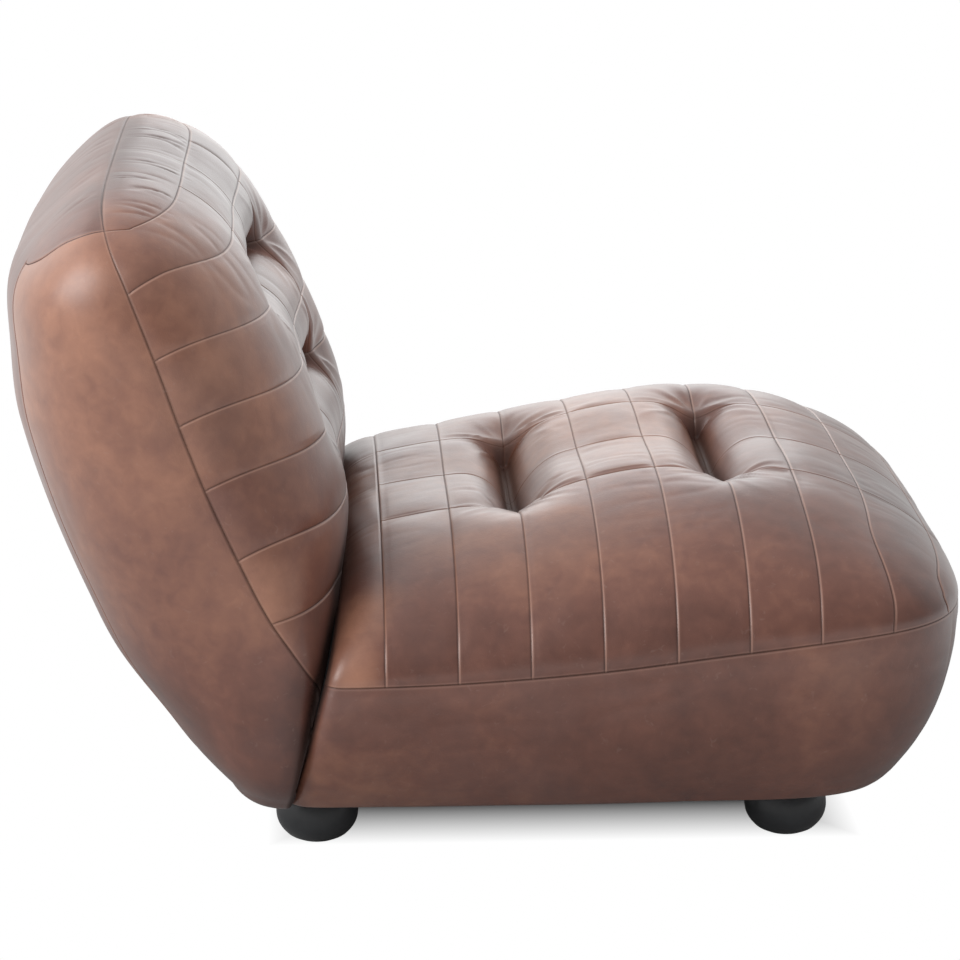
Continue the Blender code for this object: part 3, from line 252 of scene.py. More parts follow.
# %% [markdown]
# ## The deep tufts
# A strip sewn to the seam under the leather is pulled down to a wooden bar, so the pad is
# pinched into a slot between two lengthwise seams. The leather falls into it in a sharp V,
# deeper than the soft bowl around it, and stops short at both ends.

# %% Tuft shape
HANG_DEPTH = 0.023
HANG_HALF_WIDTH = 0.040
HANG_POWER = 1.2
HANG_END_FADE = 0.050
CLEFT_DEPTH = 0.044
CLEFT_HALF_WIDTH = 0.054
CLEFT_END = 0.147
CLEFT_END_WIDTH = 0.017
CLEFT_BLUNTNESS = 0.045
CLEFT_FLOOR = 0.0060


def tuft_depth(x, from_row):
    """Depth of one tuft at x, at a distance from the seam that is drawn in."""
    past = np.maximum(0.0, np.abs(x) - TUFT_HALF_LENGTH)
    hang = HANG_DEPTH * fade(from_row, HANG_HALF_WIDTH, HANG_POWER) * fade(past, HANG_END_FADE)
    past = np.maximum(0.0, np.abs(x) - CLEFT_END)
    aside = np.maximum(np.abs(from_row) - CLEFT_FLOOR, 0.0)
    reach = np.minimum(np.hypot(aside / CLEFT_HALF_WIDTH, past / CLEFT_END_WIDTH), 1.0)
    reach = CLEFT_BLUNTNESS + (1.0 - CLEFT_BLUNTNESS) * reach
    return hang + CLEFT_DEPTH * (1.0 - np.sqrt(1.0 - (1.0 - reach) ** 2))


# %% [markdown]
# ## The seat's skin
# The seat's top is one grid of points, from the rear face to the front edge and from side to
# side. Below its side seam the skin drops, tucks in towards the base and turns under the frame.

# %% Seat surface
SEAT_AHEAD = SEAT_CROWN_Y - SEAT_FRONT_Y
SEAT_BEHIND = REAR_FACE_Y - REAR_SEAM_Y
SEAT_TUFT_YS = [REAR_SEAM_Y - SEAM_PITCH * row for row in (2, 5)]
SEAT_SLIDE = (0.17, 0.64, 0.29, 1.00, 0.60)
SEAT_EASE_PASSES = 25
SEAT_ACROSS_POWERS = (3.2, 2.0)
SEAT_AHEAD_POWERS = (2.6, 1.5)
SAG = 0.007
SAG_HALF_WIDTH = 0.095
SAG_HALF_LENGTH = 0.250
END_POWER = 5
END_DROP = 0.016
END_INSET = 0.005
SEAT_EDGE_ROLL = 0.016
LOW_DROP = 1.53
LOW_FRONT_POWER = 2.35
LOW_SIDE_POWERS = (2.2, 4.0)


def seat_lean(y, z):
    """Lean the rearmost strip of the seat onto the plane of the gap."""
    lean = np.maximum(0.0, (y - REAR_SEAM_Y) / SEAT_BEHIND)
    return y + lean * (rear_face_y(z) - REAR_FACE_Y)


def seat_top(across, row_y):
    """Points of the seat's upper surface."""
    ahead = (SEAT_CROWN_Y - row_y) / SEAT_AHEAD
    across, along = round_corner(across, ahead, SEAT_SLIDE, SEAT_EASE_PASSES)
    x, y = HALF_WIDTH * across, SEAT_CROWN_Y - SEAT_AHEAD * along
    along = ramp(along)
    wide = HALF_WIDTH * np.maximum(round_off(along, CORNER_POWER), 1e-6)
    side = np.where(wide > 0.001, round_off(x / wide, *SEAT_ACROSS_POWERS), 1.0)
    place = (REAR_FACE_Y - y) / SEAT_LENGTH
    seam_z = SEAT_HEIGHT * seat_seam_share(place)
    crown = SEAT_HEIGHT * seat_top_share(place) - seam_z
    z = seam_z + crown * side * round_off(along, *SEAT_AHEAD_POWERS)
    for tuft_y in SEAT_TUFT_YS:
        z = z - tuft_depth(x, y - tuft_y) * side
    z = z - SAG * fade(x, SAG_HALF_WIDTH) * fade(y - SEAT_CROWN_Y, SAG_HALF_LENGTH, 4.0) * side
    end = ramp(row_y, REAR_SEAM_Y, SEAT_BEHIND) ** END_POWER
    z = z - END_DROP * end * side
    x = x - np.sign(x) * END_INSET * end * np.abs(across)
    return roll_edge(np.stack([x, seat_lean(y, z), z], axis=-1), SEAT_EDGE_ROLL, 0.0)


def seat_low(edge, row_y, share):
    """Points below the side seam, at a share of the way down to the base."""
    x, y, seam_z = edge[..., 0], edge[..., 1], edge[..., 2]
    drop = share / LOW_DROP
    z = seam_z - (seam_z - BASE_HEIGHT) * share
    front = SEAT_CROWN_Y - (SEAT_CROWN_Y - y) * round_off(drop, LOW_FRONT_POWER)
    y = np.where(y < SEAT_CROWN_Y, front, seat_lean(row_y, z))
    return np.stack([x * round_off(drop, *LOW_SIDE_POWERS), y, z], axis=-1)


# %% [markdown]
# ## The back's skin
# The back is a leaf shape. Its front and rear surfaces meet in a seam that runs up the side and
# over the top. Where the back rests against the seat, the skin is pressed flat on the leaning
# plane. Pairs named RISE and FALL are the start and span of a ramp.

# %% Back surface
BACK_RISE = BACK_HEIGHT - BACK_CROWN
BACK_TUFT_HEIGHTS = [BACK_HEIGHT * BACK_CROSS_SEAMS[row] for row in (2, 4)]
BACK_TUFT_SHARE = 0.85
BACK_SLIDE = (0.09, 0.80, 0.155, 1.05, 0.75)
BACK_EASE_PASSES = 60
FRONT_ACROSS_POWERS = (4.0, 2.1)
FRONT_UP_POWER = 2.2
REAR_ACROSS_POWERS = (4.5, 2.1)
REAR_UP_POWER = 1.85
BACK_SAG = 0.012
BACK_SAG_HALF_WIDTH = 0.130
BACK_SAG_HEIGHT = 0.43
BACK_SAG_HALF_HEIGHT = 0.24
BACK_LEAN = 0.12
BACK_LEAN_Y = 0.2983
BACK_LEAN_SPAN = 0.06
BACK_HEM = 0.0022
HEM_SPAN = 0.010
HEM_REAR_RISE = (0.23, 0.02)
UNIT_GAP = 0.0005
CROWN_SETTLE = 0.005
CROWN_SETTLE_RISE = (0.66, 0.08)
FLANK_LIFT = 0.050
FLANK_RISE = (0.24, 0.12)
FLANK_FALL = (BACK_HEIGHT * 0.96, -0.05)
SHOULDER_LIFT = 0.0165
SHOULDER_RISE = (0.658, 0.060)
SHOULDER_FALL = (BACK_HEIGHT, -BACK_HEIGHT * 0.034)
SHOULDER_SIDE_RISE = (0.56, 0.44)
BACK_EDGE_ROLL = 0.036
GAP_SLOT = 0.008
REAR_FILL = 0.0262
REAR_FILL_PLACE = 0.6615
REAR_FILL_REACH = 0.064
REAR_FILL_POWER = 6.0
FOOT_START = BACK_HEIGHT * 0.323
FOOT_END = BACK_HEIGHT * 0.055


def lifted(across, height):
    """Heights of the front's grid lines, which climb towards the flank and the shoulder."""
    flank = round_off(across, *FRONT_ACROSS_POWERS)
    body = smooth_step(height, *FLANK_RISE) * smooth_step(height, *FLANK_FALL)
    height = height + FLANK_LIFT * flank * (1.0 - flank) * body
    window = np.minimum(ramp(height, *SHOULDER_RISE), ramp(height, *SHOULDER_FALL))
    return height + SHOULDER_LIFT * smooth_step(np.abs(across), *SHOULDER_SIDE_RISE) * window


def back_surface(across, height, rear):
    """Points of the back's front or rear surface."""
    height = height if rear else lifted(across, height)
    above = (height - BACK_CROWN) / BACK_RISE
    across, along = round_corner(across, above, BACK_SLIDE, BACK_EASE_PASSES)
    height = BACK_CROWN + BACK_RISE * along
    along = ramp(along)
    wide = np.maximum(round_off(along, CORNER_POWER), 1e-6)
    side_share = np.where(wide > 0.001, across / wide, 0.0)
    below = np.maximum(0.0, (FOOT_START - height) / (FOOT_START - FOOT_END))
    x = HALF_WIDTH * across * round_off(below, CORNER_POWER)
    place = height / BACK_HEIGHT
    seam_y = REAR_FACE_Y + BACK_DEPTH * back_seam_share(place)
    if rear:
        bulge = REAR_FACE_Y + BACK_DEPTH * back_rear_share(place) - seam_y
        fill = REAR_FILL * fade(height - REAR_FILL_PLACE, REAR_FILL_REACH)
        bulge = bulge * round_off(along, REAR_UP_POWER) + fill * round_off(along, REAR_FILL_POWER)
        y = seam_y + bulge * round_off(side_share, *REAR_ACROSS_POWERS)
    else:
        side = round_off(side_share, *FRONT_ACROSS_POWERS) * (along < 1.0 - 1e-9)
        bulge = seam_y - REAR_FACE_Y - BACK_DEPTH * back_front_share(place)
        y = seam_y - bulge * side * round_off(along, FRONT_UP_POWER)
        for tuft_height in BACK_TUFT_HEIGHTS:
            y = y + BACK_TUFT_SHARE * tuft_depth(x, height - tuft_height) * side
        sag = fade(height - BACK_SAG_HEIGHT, BACK_SAG_HALF_HEIGHT, 4.0)
        y = y + BACK_SAG * fade(x, BACK_SAG_HALF_WIDTH) * sag * side
    lean = BACK_LEAN * smooth_step(height, BASE_HEIGHT, BACK_LEAN_SPAN)
    settled = CROWN_SETTLE * smooth_step(height, *CROWN_SETTLE_RISE)
    hem = BACK_HEM * (1.0 - smooth_step(height, BASE_HEIGHT, HEM_SPAN))
    z = np.maximum(height - lean * (y - BACK_LEAN_Y) - settled, BASE_HEIGHT) - hem
    x = x + np.sign(x) * hem * np.abs(across)
    y = np.maximum(y + hem * smooth_step(y, *HEM_REAR_RISE), rear_face_y(z) + UNIT_GAP)
    return roll_edge(np.stack([x, y, z], axis=-1), BACK_EDGE_ROLL, GAP_SLOT)


# %% [markdown]
# ## Grid lines for fine panels
# A seam is only a few millimetres wide, so the grid needs a line exactly on it and close lines
# beside it. Between seams the lines are spread evenly by length along the surface.

# %% Grid lines
SPACING = 0.0045
SAMPLES = 3000
BESIDE_SEAM = (0.0008, 0.0018, 0.0031, 0.0048)
NORMAL_PASSES = 4


def grid_lines(marks, surface_line):
    """Places of the lines, and the index of each mark among them."""
    samples = np.linspace(marks[0], marks[-1], SAMPLES)
    steps = np.linalg.norm(np.diff(surface_line(samples), axis=0), axis=1)
    length = np.concatenate([[0.0], np.cumsum(steps)])
    ends = np.interp(marks, samples, length)
    places, indices = [], []
    for low, high in zip(ends, ends[1:]):
        indices.append(len(places))
        beside = [step for step in BESIDE_SEAM if step < (high - low) / 3.0]
        first, last = low + beside[-1], high - beside[-1]
        count = max(2, int(math.ceil((last - first) / SPACING)) + 1)
        places += [low] + [low + step for step in beside[:-1]]
        places += list(np.linspace(first, last, count))
        places += [high - step for step in reversed(beside[:-1])]
    indices.append(len(places))
    places.append(ends[-1])
    return np.interp(places, length, samples), indices


def length_along(points, axis):
    """Length along each grid line, in metres."""
    steps = np.linalg.norm(np.diff(points, axis=axis), axis=-1)
    pad = [(0, 0), (0, 0)]
    pad[axis] = (1, 0)
    return np.pad(np.cumsum(steps, axis=axis), pad)


def grid_cross(points):
    """Cross product of the two sets of grid lines, and its size if they were square."""
    along, across = np.gradient(points, axis=0), np.gradient(points, axis=1)
    size = np.linalg.norm(along, axis=-1) * np.linalg.norm(across, axis=-1)
    return np.cross(along, across), np.maximum(size, 1e-12)


def grid_normals(points, flip=False):
    """Unit normals of a grid of points."""
    cross, size = grid_cross(points)
    normals = cross / size[..., None]
    for _ in range(NORMAL_PASSES):
        wide = np.pad(normals, ((1, 1), (1, 1), (0, 0)), mode="edge")
        beside = wide[:-2, 1:-1] + wide[2:, 1:-1] + wide[1:-1, :-2] + wide[1:-1, 2:]
        normals = (beside + 2.0 * normals) / 6.0
    normals /= np.maximum(np.linalg.norm(normals, axis=-1, keepdims=True), 1e-12)
    return -normals if flip else normals


def grid_quads(rows, cols, flip=False):
    """The four corners of every cell of a grid."""
    index = np.arange(rows * cols).reshape(rows, cols)
    quads = np.stack([index[:-1, :-1], index[1:, :-1], index[1:, 1:], index[:-1, 1:]], axis=-1)
    quads = quads.reshape(-1, 4)
    return quads[:, ::-1] if flip else quads


# %% [markdown]
# ## Wrinkle fields
# Old leather is never smooth between its seams. A wrinkle field is a lattice of chosen random
# heights joined smoothly, with cells longer one way than the other, so that its creases run that
# way. The random draws are seeded, so every run gives the same chair.

# %% Wrinkle helpers
CREASE_BEND = 0.35
BEND_SHAPE = (0.7, 3.0)
FOLD_COUNT = 9
FOLD_REACH = 0.085
FOLD_FAN = 2.3
FOLD_POWER = 2.5
GATHER_RELIEF = 0.0017
GATHER_LEVEL = 0.1
GATHER_SHARPNESS = 7.0


def soft_noise(u, v, cell_u, cell_v, seed):
    """Smooth random heights from -1 to 1 on cells of the given sizes."""
    u, v = (u - u.min()) / cell_u, (v - v.min()) / cell_v
    lattice = np.random.default_rng(seed).uniform(-1.0, 1.0, (int(u.max()) + 3, int(v.max()) + 3))
    i, j = u.astype(int), v.astype(int)
    fu, fv = smooth_step(u - i), smooth_step(v - j)
    low = lattice[i, j] * (1.0 - fv) + lattice[i, j + 1] * fv
    high = lattice[i + 1, j] * (1.0 - fv) + lattice[i + 1, j + 1] * fv
    return low * (1.0 - fu) + high * fu


def creases(u, v, crease, cover=None, level=0.0, sharpness=3.0):
    """Narrow creases where one noise crosses zero, from 0 to 1, only where another is high."""
    cell_u, cell_v, seed = crease
    bend = soft_noise(u, v, cell_u * BEND_SHAPE[0], cell_v * BEND_SHAPE[1], seed + 50)
    bent = v + CREASE_BEND * cell_v * bend
    depth = (1.0 - np.abs(soft_noise(u, bent, *crease))) ** sharpness
    return depth if cover is None else depth * ramp(soft_noise(u, v, *cover) + level)


def gathers(u, v, crease, cover, level):
    """Fine creases of leather that is gathered into a seam."""
    return GATHER_RELIEF * (creases(u, v, crease, cover, level, GATHER_SHARPNESS) - GATHER_LEVEL)


def radiating_folds(x, y, centre, outward, seed):
    """Folds that fan out from the end of a tuft's slot."""
    dx, dy = x - centre[0], y - centre[1]
    radius = np.hypot(dx, dy)
    angle = np.arctan2(dy, dx * outward)
    rng = np.random.default_rng(seed)
    height = np.zeros_like(x)
    curls = rng.uniform(-5.0, 5.0, FOLD_COUNT)
    turns = np.linspace(-FOLD_FAN, FOLD_FAN, FOLD_COUNT) + rng.uniform(-0.12, 0.12, FOLD_COUNT)
    for turn, curl in zip(turns, curls):
        width = rng.uniform(0.055, 0.11)
        strength = rng.uniform(0.3, 1.0)
        reach = FOLD_REACH * rng.uniform(0.6, 1.1)
        off = angle - turn - curl * (radius - 0.02)
        fold = fade(off, width) - 0.5 * fade(off - 0.2, 0.12)
        height += strength * fold * fade(radius, reach, FOLD_POWER)
    return height * ramp(radius, 0.012, 0.022)


# %% [markdown]
# ## Sewn seams
# Two turned edges meet in every seam. The leather dips there, its crease is painted dark as
# shade, and the lip on one side stands a little proud and is painted pale, as wear and as a
# highlight. Distances are measured across the seam, so they shrink where the grid's lines run
# together in a corner.

# %% Seam helpers
SEAM_DEPTH = 0.0009
SEAM_HALF_WIDTH = 0.0007
SEAM_DIP = 0.0004
SEAM_DIP_HALF_WIDTH = 0.0070
HEM_RISE = 0.0008
LAP = 0.0004
LAP_PLACE = 0.0026
LAP_HALF_WIDTH = 0.0017
# Widths of the painted shade in a seam's crease and of the lip's pale line of wear and painted
# highlight, then their strengths.
CREASE_SHADE_HALF_WIDTH = 0.0006
WORN_HIGHLIGHT_PLACE = 0.0018
WORN_HIGHLIGHT_HALF_WIDTH = 0.0008
BORDER_SHADE = 0.6
BORDER_WORN_HIGHLIGHT = 0.8
CROSS_SHADE = 0.75
SEAM_END_SPAN = 0.005
SKEW_SPAN = 0.5
CALM_REACH = 0.008
BORDER_CALM = 0.025
GAP_DARK = 0.95
GAP_LIGHT_RISE = (0.31, 0.05)


def from_seam(length, marks, axis):
    """Signed distance from every grid point to the nearest marked line."""
    lines = np.stack([length - np.take(length, [mark], axis=axis) for mark in marks])
    nearest = np.abs(lines).argmin(axis=0)
    return np.take_along_axis(lines, nearest[None], axis=0)[0]


def patch_share(length, marks, axis):
    """How far each point is between its two seams, from 0 to 1."""
    share = np.zeros_like(length)
    for low, high in zip(marks, marks[1:]):
        index = [slice(None)] * 2
        index[axis] = slice(low, high + 1)
        a, b = np.take(length, [low], axis=axis), np.take(length, [high], axis=axis)
        share[tuple(index)] = ((length - a) / np.maximum(b - a, 1e-9))[tuple(index)]
    return share


class Seams:
    """What the sewn lines of one panel add: relief, a dark line of painted shade in the crease,
    and a pale lap line of wear and painted highlight.
    """

    def __init__(self, points, borders):
        cross, size = grid_cross(points)
        self.sine = np.clip(smooth_grid(np.linalg.norm(cross, axis=-1) / size, 3), 0.05, 1.0)
        self.border = np.minimum.reduce([np.abs(line) for line in borders]) * self.sine
        self.away = self.border.copy()
        self.relief = HEM_RISE * (1.0 - fade(self.border, SEAM_DIP_HALF_WIDTH))
        self.dark = BORDER_SHADE * fade(self.border, CREASE_SHADE_HALF_WIDTH)
        self.pale = BORDER_WORN_HIGHLIGHT * BORDER_SHADE * fade(self.border - WORN_HIGHLIGHT_PLACE, WORN_HIGHLIGHT_HALF_WIDTH)

    def calm(self, reach=CALM_REACH):
        """From 0 on the panel's borders to 1 well away from every seam."""
        return np.clip(self.away / reach, 0.15, 1.0) * smooth_step(self.border, 0.0, BORDER_CALM)

    def sew(self, signed, strength=1.0, where=1.0, darkness=CROSS_SHADE):
        """Sew one line, which flattens out where it meets a border, with painted shade in its
        crease and a pale line of wear and painted highlight on its lip.
        """
        signed, strength = signed * self.sine, strength * where
        distance = np.abs(signed)
        valley = SEAM_DEPTH * fade(distance, SEAM_HALF_WIDTH, 1.5)
        valley = valley + SEAM_DIP * fade(distance, SEAM_DIP_HALF_WIDTH)
        relief = strength * (LAP * fade(signed - LAP_PLACE, LAP_HALF_WIDTH) - valley)
        relief = relief * smooth_step(self.border, 0.0, SEAM_END_SPAN)
        self.relief += relief * smooth_step(self.sine, 0.0, SKEW_SPAN)
        self.dark = np.maximum(self.dark, darkness * strength * fade(distance, CREASE_SHADE_HALF_WIDTH))
        self.pale = np.maximum(self.pale, strength * fade(signed - WORN_HIGHLIGHT_PLACE, WORN_HIGHLIGHT_HALF_WIDTH))
        self.away = np.minimum(self.away, np.where(strength > 0.02, distance, 1.0))

    def shade(self, amount):
        """Darken a place that sees no light, such as the bottom of a tuft."""
        self.dark = np.maximum(self.dark, amount)
        self.pale = self.pale * (1.0 - amount)


def gap_shade(points, reach):
    """How much shade is painted on the skin beside the gap between the two units."""
    z = points[..., 2]
    low = 1.0 - smooth_step(z, *GAP_LIGHT_RISE)
    reach = reach * (0.4 + 0.6 * smooth_step(z, BASE_HEIGHT, 0.10))
    return GAP_DARK * low * fade((points[..., 1] - rear_face_y(z)) / reach, 1.0, 4.0)


def corner_calm(points, reach):
    """From 0 on the grid's corners, where the wrinkle fields are squeezed, to 1 away from them."""
    corners = (points[0, 0], points[0, -1], points[-1, 0], points[-1, -1])
    away = np.minimum.reduce([np.linalg.norm(points - corner, axis=-1) for corner in corners])
    return smooth_step(away, 0.0, reach)


# %% [markdown]
# ## From a grid to a panel of leather
# Each cut panel becomes one closed shell: the outer skin, an inner skin one leather's thickness
# below, and the cut edge between them. Every point also keeps three numbers for the finish: how
# much shade is painted on it, in seam creases, slots and beside the gap; how pale its lip is, as
# wear and a painted highlight; and its tone, the patch's dye with painted light and shade added.

# %% Panel builder
CORNER_CALM = 0.026
THINNEST = 0.05


def add_object(name, mesh):
    """Put a mesh in the scene."""
    item = bpy.data.objects.new(name, mesh)
    bpy.context.scene.collection.objects.link(item)
    return item


def leather_piece(name, points, relief, seams, tone, keep=None, flip=False):
    """A closed leather shell from a grid of points, raised by its relief."""
    calm = corner_calm(points, CORNER_CALM)
    relief, thickness = relief * calm, LEATHER * (THINNEST + (1.0 - THINNEST) * calm)
    outer = points + grid_normals(points, flip) * relief[..., None]
    inner = outer - grid_normals(outer, flip) * thickness[..., None]
    quads = grid_quads(*relief.shape, flip)
    if keep is not None:
        quads = quads[keep.reshape(-1)]
    edges = np.concatenate([quads[:, [k, (k + 1) % 4]] for k in range(4)])
    key, twin = edges[:, 0] * relief.size + edges[:, 1], edges[:, 1] * relief.size + edges[:, 0]
    rim, shift = edges[~np.isin(key, twin)], relief.size
    walls = np.stack([rim[:, 1], rim[:, 0], rim[:, 0] + shift, rim[:, 1] + shift], axis=-1)
    faces = np.concatenate([quads, quads[:, ::-1] + shift, walls])
    used, faces = np.unique(faces, return_inverse=True)
    vertices = np.concatenate([outer.reshape(-1, 3), inner.reshape(-1, 3)])[used]
    mesh = bpy.data.meshes.new(name)
    mesh.vertices.add(len(vertices))
    mesh.vertices.foreach_set("co", vertices.astype(np.float32).ravel())
    mesh.loops.add(faces.size)
    mesh.loops.foreach_set("vertex_index", faces.astype(np.int32).ravel())
    mesh.polygons.add(faces.size // 4)
    mesh.polygons.foreach_set("loop_start", np.arange(0, faces.size, 4, dtype=np.int32))
    mesh.update(calc_edges=True)
    # Kept on every point: painted shade, the lips' pale line of wear and painted highlight, and
    # tone with painted light and shade.
    for label, values in (("thread", seams.dark), ("lap", seams.pale), ("tone", tone)):
        both = np.concatenate([values.ravel(), values.ravel()])[used].astype(np.float32)
        mesh.attributes.new(label, "FLOAT", "POINT").data.foreach_set("value", both)
    mesh.shade_smooth()
    mesh.validate()
    print(name, len(mesh.polygons), "faces")
    return add_object(name, mesh)


# %% [markdown]
# ## Padding that pushes
# The foam presses the leather out between its seams. A coarse copy of the panel is simulated as
# cloth with pressure behind it, held along the seams, and the distance that it moves is carried
# back to the fine grid.

# %% Cloth simulation
CLOTH_SPACING = 0.0075
CLOTH_PRESSURE = 4.0
CLOTH_GROWTH = 0.006
CLOTH_FRAMES = 20
CLOTH_CAP = 0.006
CLOTH_PASSES = 6


def coarse_lines(marks, length):
    """Indices of a coarser set of lines that keeps every marked one."""
    chosen = {int(marks[-1])}
    for low, high in zip(marks, marks[1:]):
        count = max(2, int(round((length[high] - length[low]) / CLOTH_SPACING)))
        wanted = np.linspace(length[low], length[high], count + 1)[:-1]
        chosen |= {low + int(np.abs(length[low:high + 1] - place).argmin()) for place in wanted}
    return np.array(sorted(chosen))


def settle(name, points, row_marks, col_marks, held, flip):
    """Let the pad push the leather out between its seams, and return how far each point moved."""
    along = np.median(length_along(points, 0), axis=1)
    across = np.median(length_along(points, 1), axis=0)
    rows, cols = coarse_lines(row_marks, along), coarse_lines(col_marks, across)
    start = points[np.ix_(rows, cols)]
    mesh = bpy.data.meshes.new(name + "_cloth")
    quads = grid_quads(len(rows), len(cols), flip)
    mesh.from_pydata(start.reshape(-1, 3).tolist(), [], quads.tolist())
    cloth = add_object(name + "_cloth", mesh)
    group = cloth.vertex_groups.new(name="held")
    for number, weight in enumerate(held[np.ix_(rows, cols)].ravel()):
        if weight > 0.01:
            group.add([number], float(min(weight, 1.0)), "REPLACE")
    modifier = cloth.modifiers.new("cloth", "CLOTH")
    settings = modifier.settings
    settings.quality, settings.mass, settings.vertex_group_mass = 6, 0.4, "held"
    settings.tension_stiffness = settings.compression_stiffness = 40.0
    settings.shear_stiffness, settings.bending_stiffness = 20.0, 1.5
    settings.use_pressure, settings.uniform_pressure_force = True, CLOTH_PRESSURE
    settings.shrink_min = -CLOTH_GROWTH
    settings.effector_weights.gravity = 0.0
    modifier.collision_settings.use_collision = False
    modifier.point_cache.frame_start, modifier.point_cache.frame_end = 1, CLOTH_FRAMES
    for frame_number in range(1, CLOTH_FRAMES + 1):
        bpy.context.scene.frame_set(frame_number)
    settled = cloth.evaluated_get(bpy.context.evaluated_depsgraph_get()).data
    moved = np.empty(start.size, dtype=np.float32)
    settled.vertices.foreach_get("co", moved)
    shift = ((moved.reshape(start.shape) - start) * grid_normals(start, flip)).sum(axis=-1)
    shift = np.clip(shift, -CLOTH_CAP, CLOTH_CAP)
    bpy.data.objects.remove(cloth)
    bpy.context.scene.frame_set(1)
    print(name, "cloth points", shift.size, "moved up to", (shift.max() * 1000).round(2), "mm")
    return smooth_grid(resample(shift, (along[rows], across[cols]), (along, across)), CLOTH_PASSES)


# %% [markdown]
# ## Tufted covers
# The seat's top and the back's face are made alike. Patches are sewn together, puff up between
# their seams, are pinched in two slots with folds at their ends, and wrinkle with age. Each
# patch was cut from another part of the hide, so it has its own tone.

# %% Tufted covers
COLUMN_PLACES = [-1.0, -TUFT_SHARE, 0.0, TUFT_SHARE, 1.0]
SAMPLE_SHARE = 0.12
PUFF = 0.0009
SWELL_SHARE = 0.4
FOLD_RELIEF = 0.0022
AGED_RELIEF = 0.0009
BROAD_RELIEF = 0.0012
WRINKLE_CALM = 0.070
HELD_HALF_WIDTH = 0.0015
LENGTHWISE_STRENGTH = 0.45
# Next: how dark the painted shade in the lengthwise seams' creases is.
LENGTHWISE_SHADE = 0.6
SLOT_HALF_LENGTH = 0.165
SLOT_END_INSET = 0.002
# Strength and fall-off of the painted shade in the bottom of the slots.
SLOT_PAINTED_SHADE = 0.85
SLOT_SHADE_POWER = 1.5


class TuftedCover(Seams):
    """A cover of sewn patches that is drawn in by tufts."""

    def __init__(self, name, surface, row_places, sample_row, middle_row, end_rows, flip=False):
        self.name, self.flip = name, flip
        self.rows, self.row_marks = grid_lines(
            row_places, lambda t: surface(np.full_like(t, SAMPLE_SHARE), t))
        self.cols, self.col_marks = grid_lines(
            COLUMN_PLACES, lambda s: surface(s, np.full_like(s, sample_row)))
        self.t, self.s = np.meshgrid(self.rows, self.cols, indexing="ij")
        self.points = surface(self.s, self.t)
        along, across = length_along(self.points, 0), length_along(self.points, 1)
        self.along = along - along[[self.row_marks[middle_row]], :]
        self.across = across - across[:, [self.col_marks[2]]]
        borders = [from_seam(self.across, (0, -1), 1), from_seam(self.along, end_rows, 0)]
        super().__init__(self.points, borders)
        self.in_slot = self.folds = np.zeros_like(along)

    def sew_patches(self, direction, last):
        """Sew the cross seams, and lengthwise seams from the first of them to the last row."""
        self.sew(from_seam(direction * self.along, self.row_marks[1:-1], 0))
        row = np.arange(len(self.along))[:, None]
        between = (row >= self.row_marks[1]) & (row <= self.row_marks[last])
        lengthwise = from_seam(self.across, self.col_marks[1:-1], 1)
        self.sew(lengthwise, LENGTHWISE_STRENGTH, between, LENGTHWISE_SHADE)

    def draw_in(self, level, tufts, half_width, seed):
        """Pinch the slots, with folds that fan out from their ends and painted shade in their
        bottoms.
        """
        x = self.points[..., 0]
        for tuft in tufts:
            slot = fade(level - tuft, half_width, 3.0) * fade(x, SLOT_HALF_LENGTH, 12.0)
            self.in_slot = np.maximum(self.in_slot, slot)
            for outward in (-1.0, 1.0):
                centre = (outward * (TUFT_HALF_LENGTH - SLOT_END_INSET), tuft)
                self.folds = self.folds + radiating_folds(x, level, centre, outward, seed)
                seed += 1
        # Painted shade in the bottom of the slots.
        self.shade(SLOT_PAINTED_SHADE * self.in_slot ** SLOT_SHADE_POWER)

    def wrinkle(self, aged_seed, broad_seed, patchy_seed, extra, held=0.0):
        """The whole relief: seams, puffed patches, settled pad, folds and wrinkles of age."""
        along, across = self.along, self.across
        share_t = patch_share(along, self.row_marks, 0)
        share_s = patch_share(across, self.col_marks, 1)
        puff = (1.0 - np.abs(2.0 * share_t - 1.0) ** 3) * (1.0 - np.abs(2.0 * share_s - 1.0) ** 6)
        aged = creases(along, across, (0.110, 0.034, aged_seed), (0.14, 0.10, patchy_seed), 0.2)
        broad = soft_noise(along, across, 0.10, 0.09, broad_seed)
        held = np.maximum(np.maximum(fade(self.away, HELD_HALF_WIDTH), self.in_slot), held)
        swell = settle(self.name, self.points, self.row_marks, self.col_marks, held, self.flip)
        relief = SWELL_SHARE * swell + FOLD_RELIEF * self.folds + extra
        relief = relief - AGED_RELIEF * aged + BROAD_RELIEF * broad
        soft = (PUFF * puff + relief * self.calm()) * (1.0 - self.in_slot)
        return self.relief + soft * corner_calm(self.points, WRINKLE_CALM)

    def patch_tones(self, seed):
        """A random tone for each patch, from -1 to 1."""
        rows, cols = (np.clip(np.searchsorted(marks, np.arange(count), side="right") - 1, 0,
                              len(marks) - 2)
                      for marks, count in zip((self.row_marks, self.col_marks), self.along.shape))
        table = np.random.default_rng(seed).uniform(-1.0, 1.0, (rows.max() + 1, cols.max() + 1))
        return table[rows[:, None], cols[None, :]]


# %% [markdown]
# ## Seat top
# Nine cross seams and three lengthwise seams make the patches. The lengthwise seams start at the
# first cross seam, so the strip against the back has none. The crown and the middle pillow are
# painted paler as sheen, the rear corner beside the gap gets a painted highlight, and the nose
# is painted darker as shade.

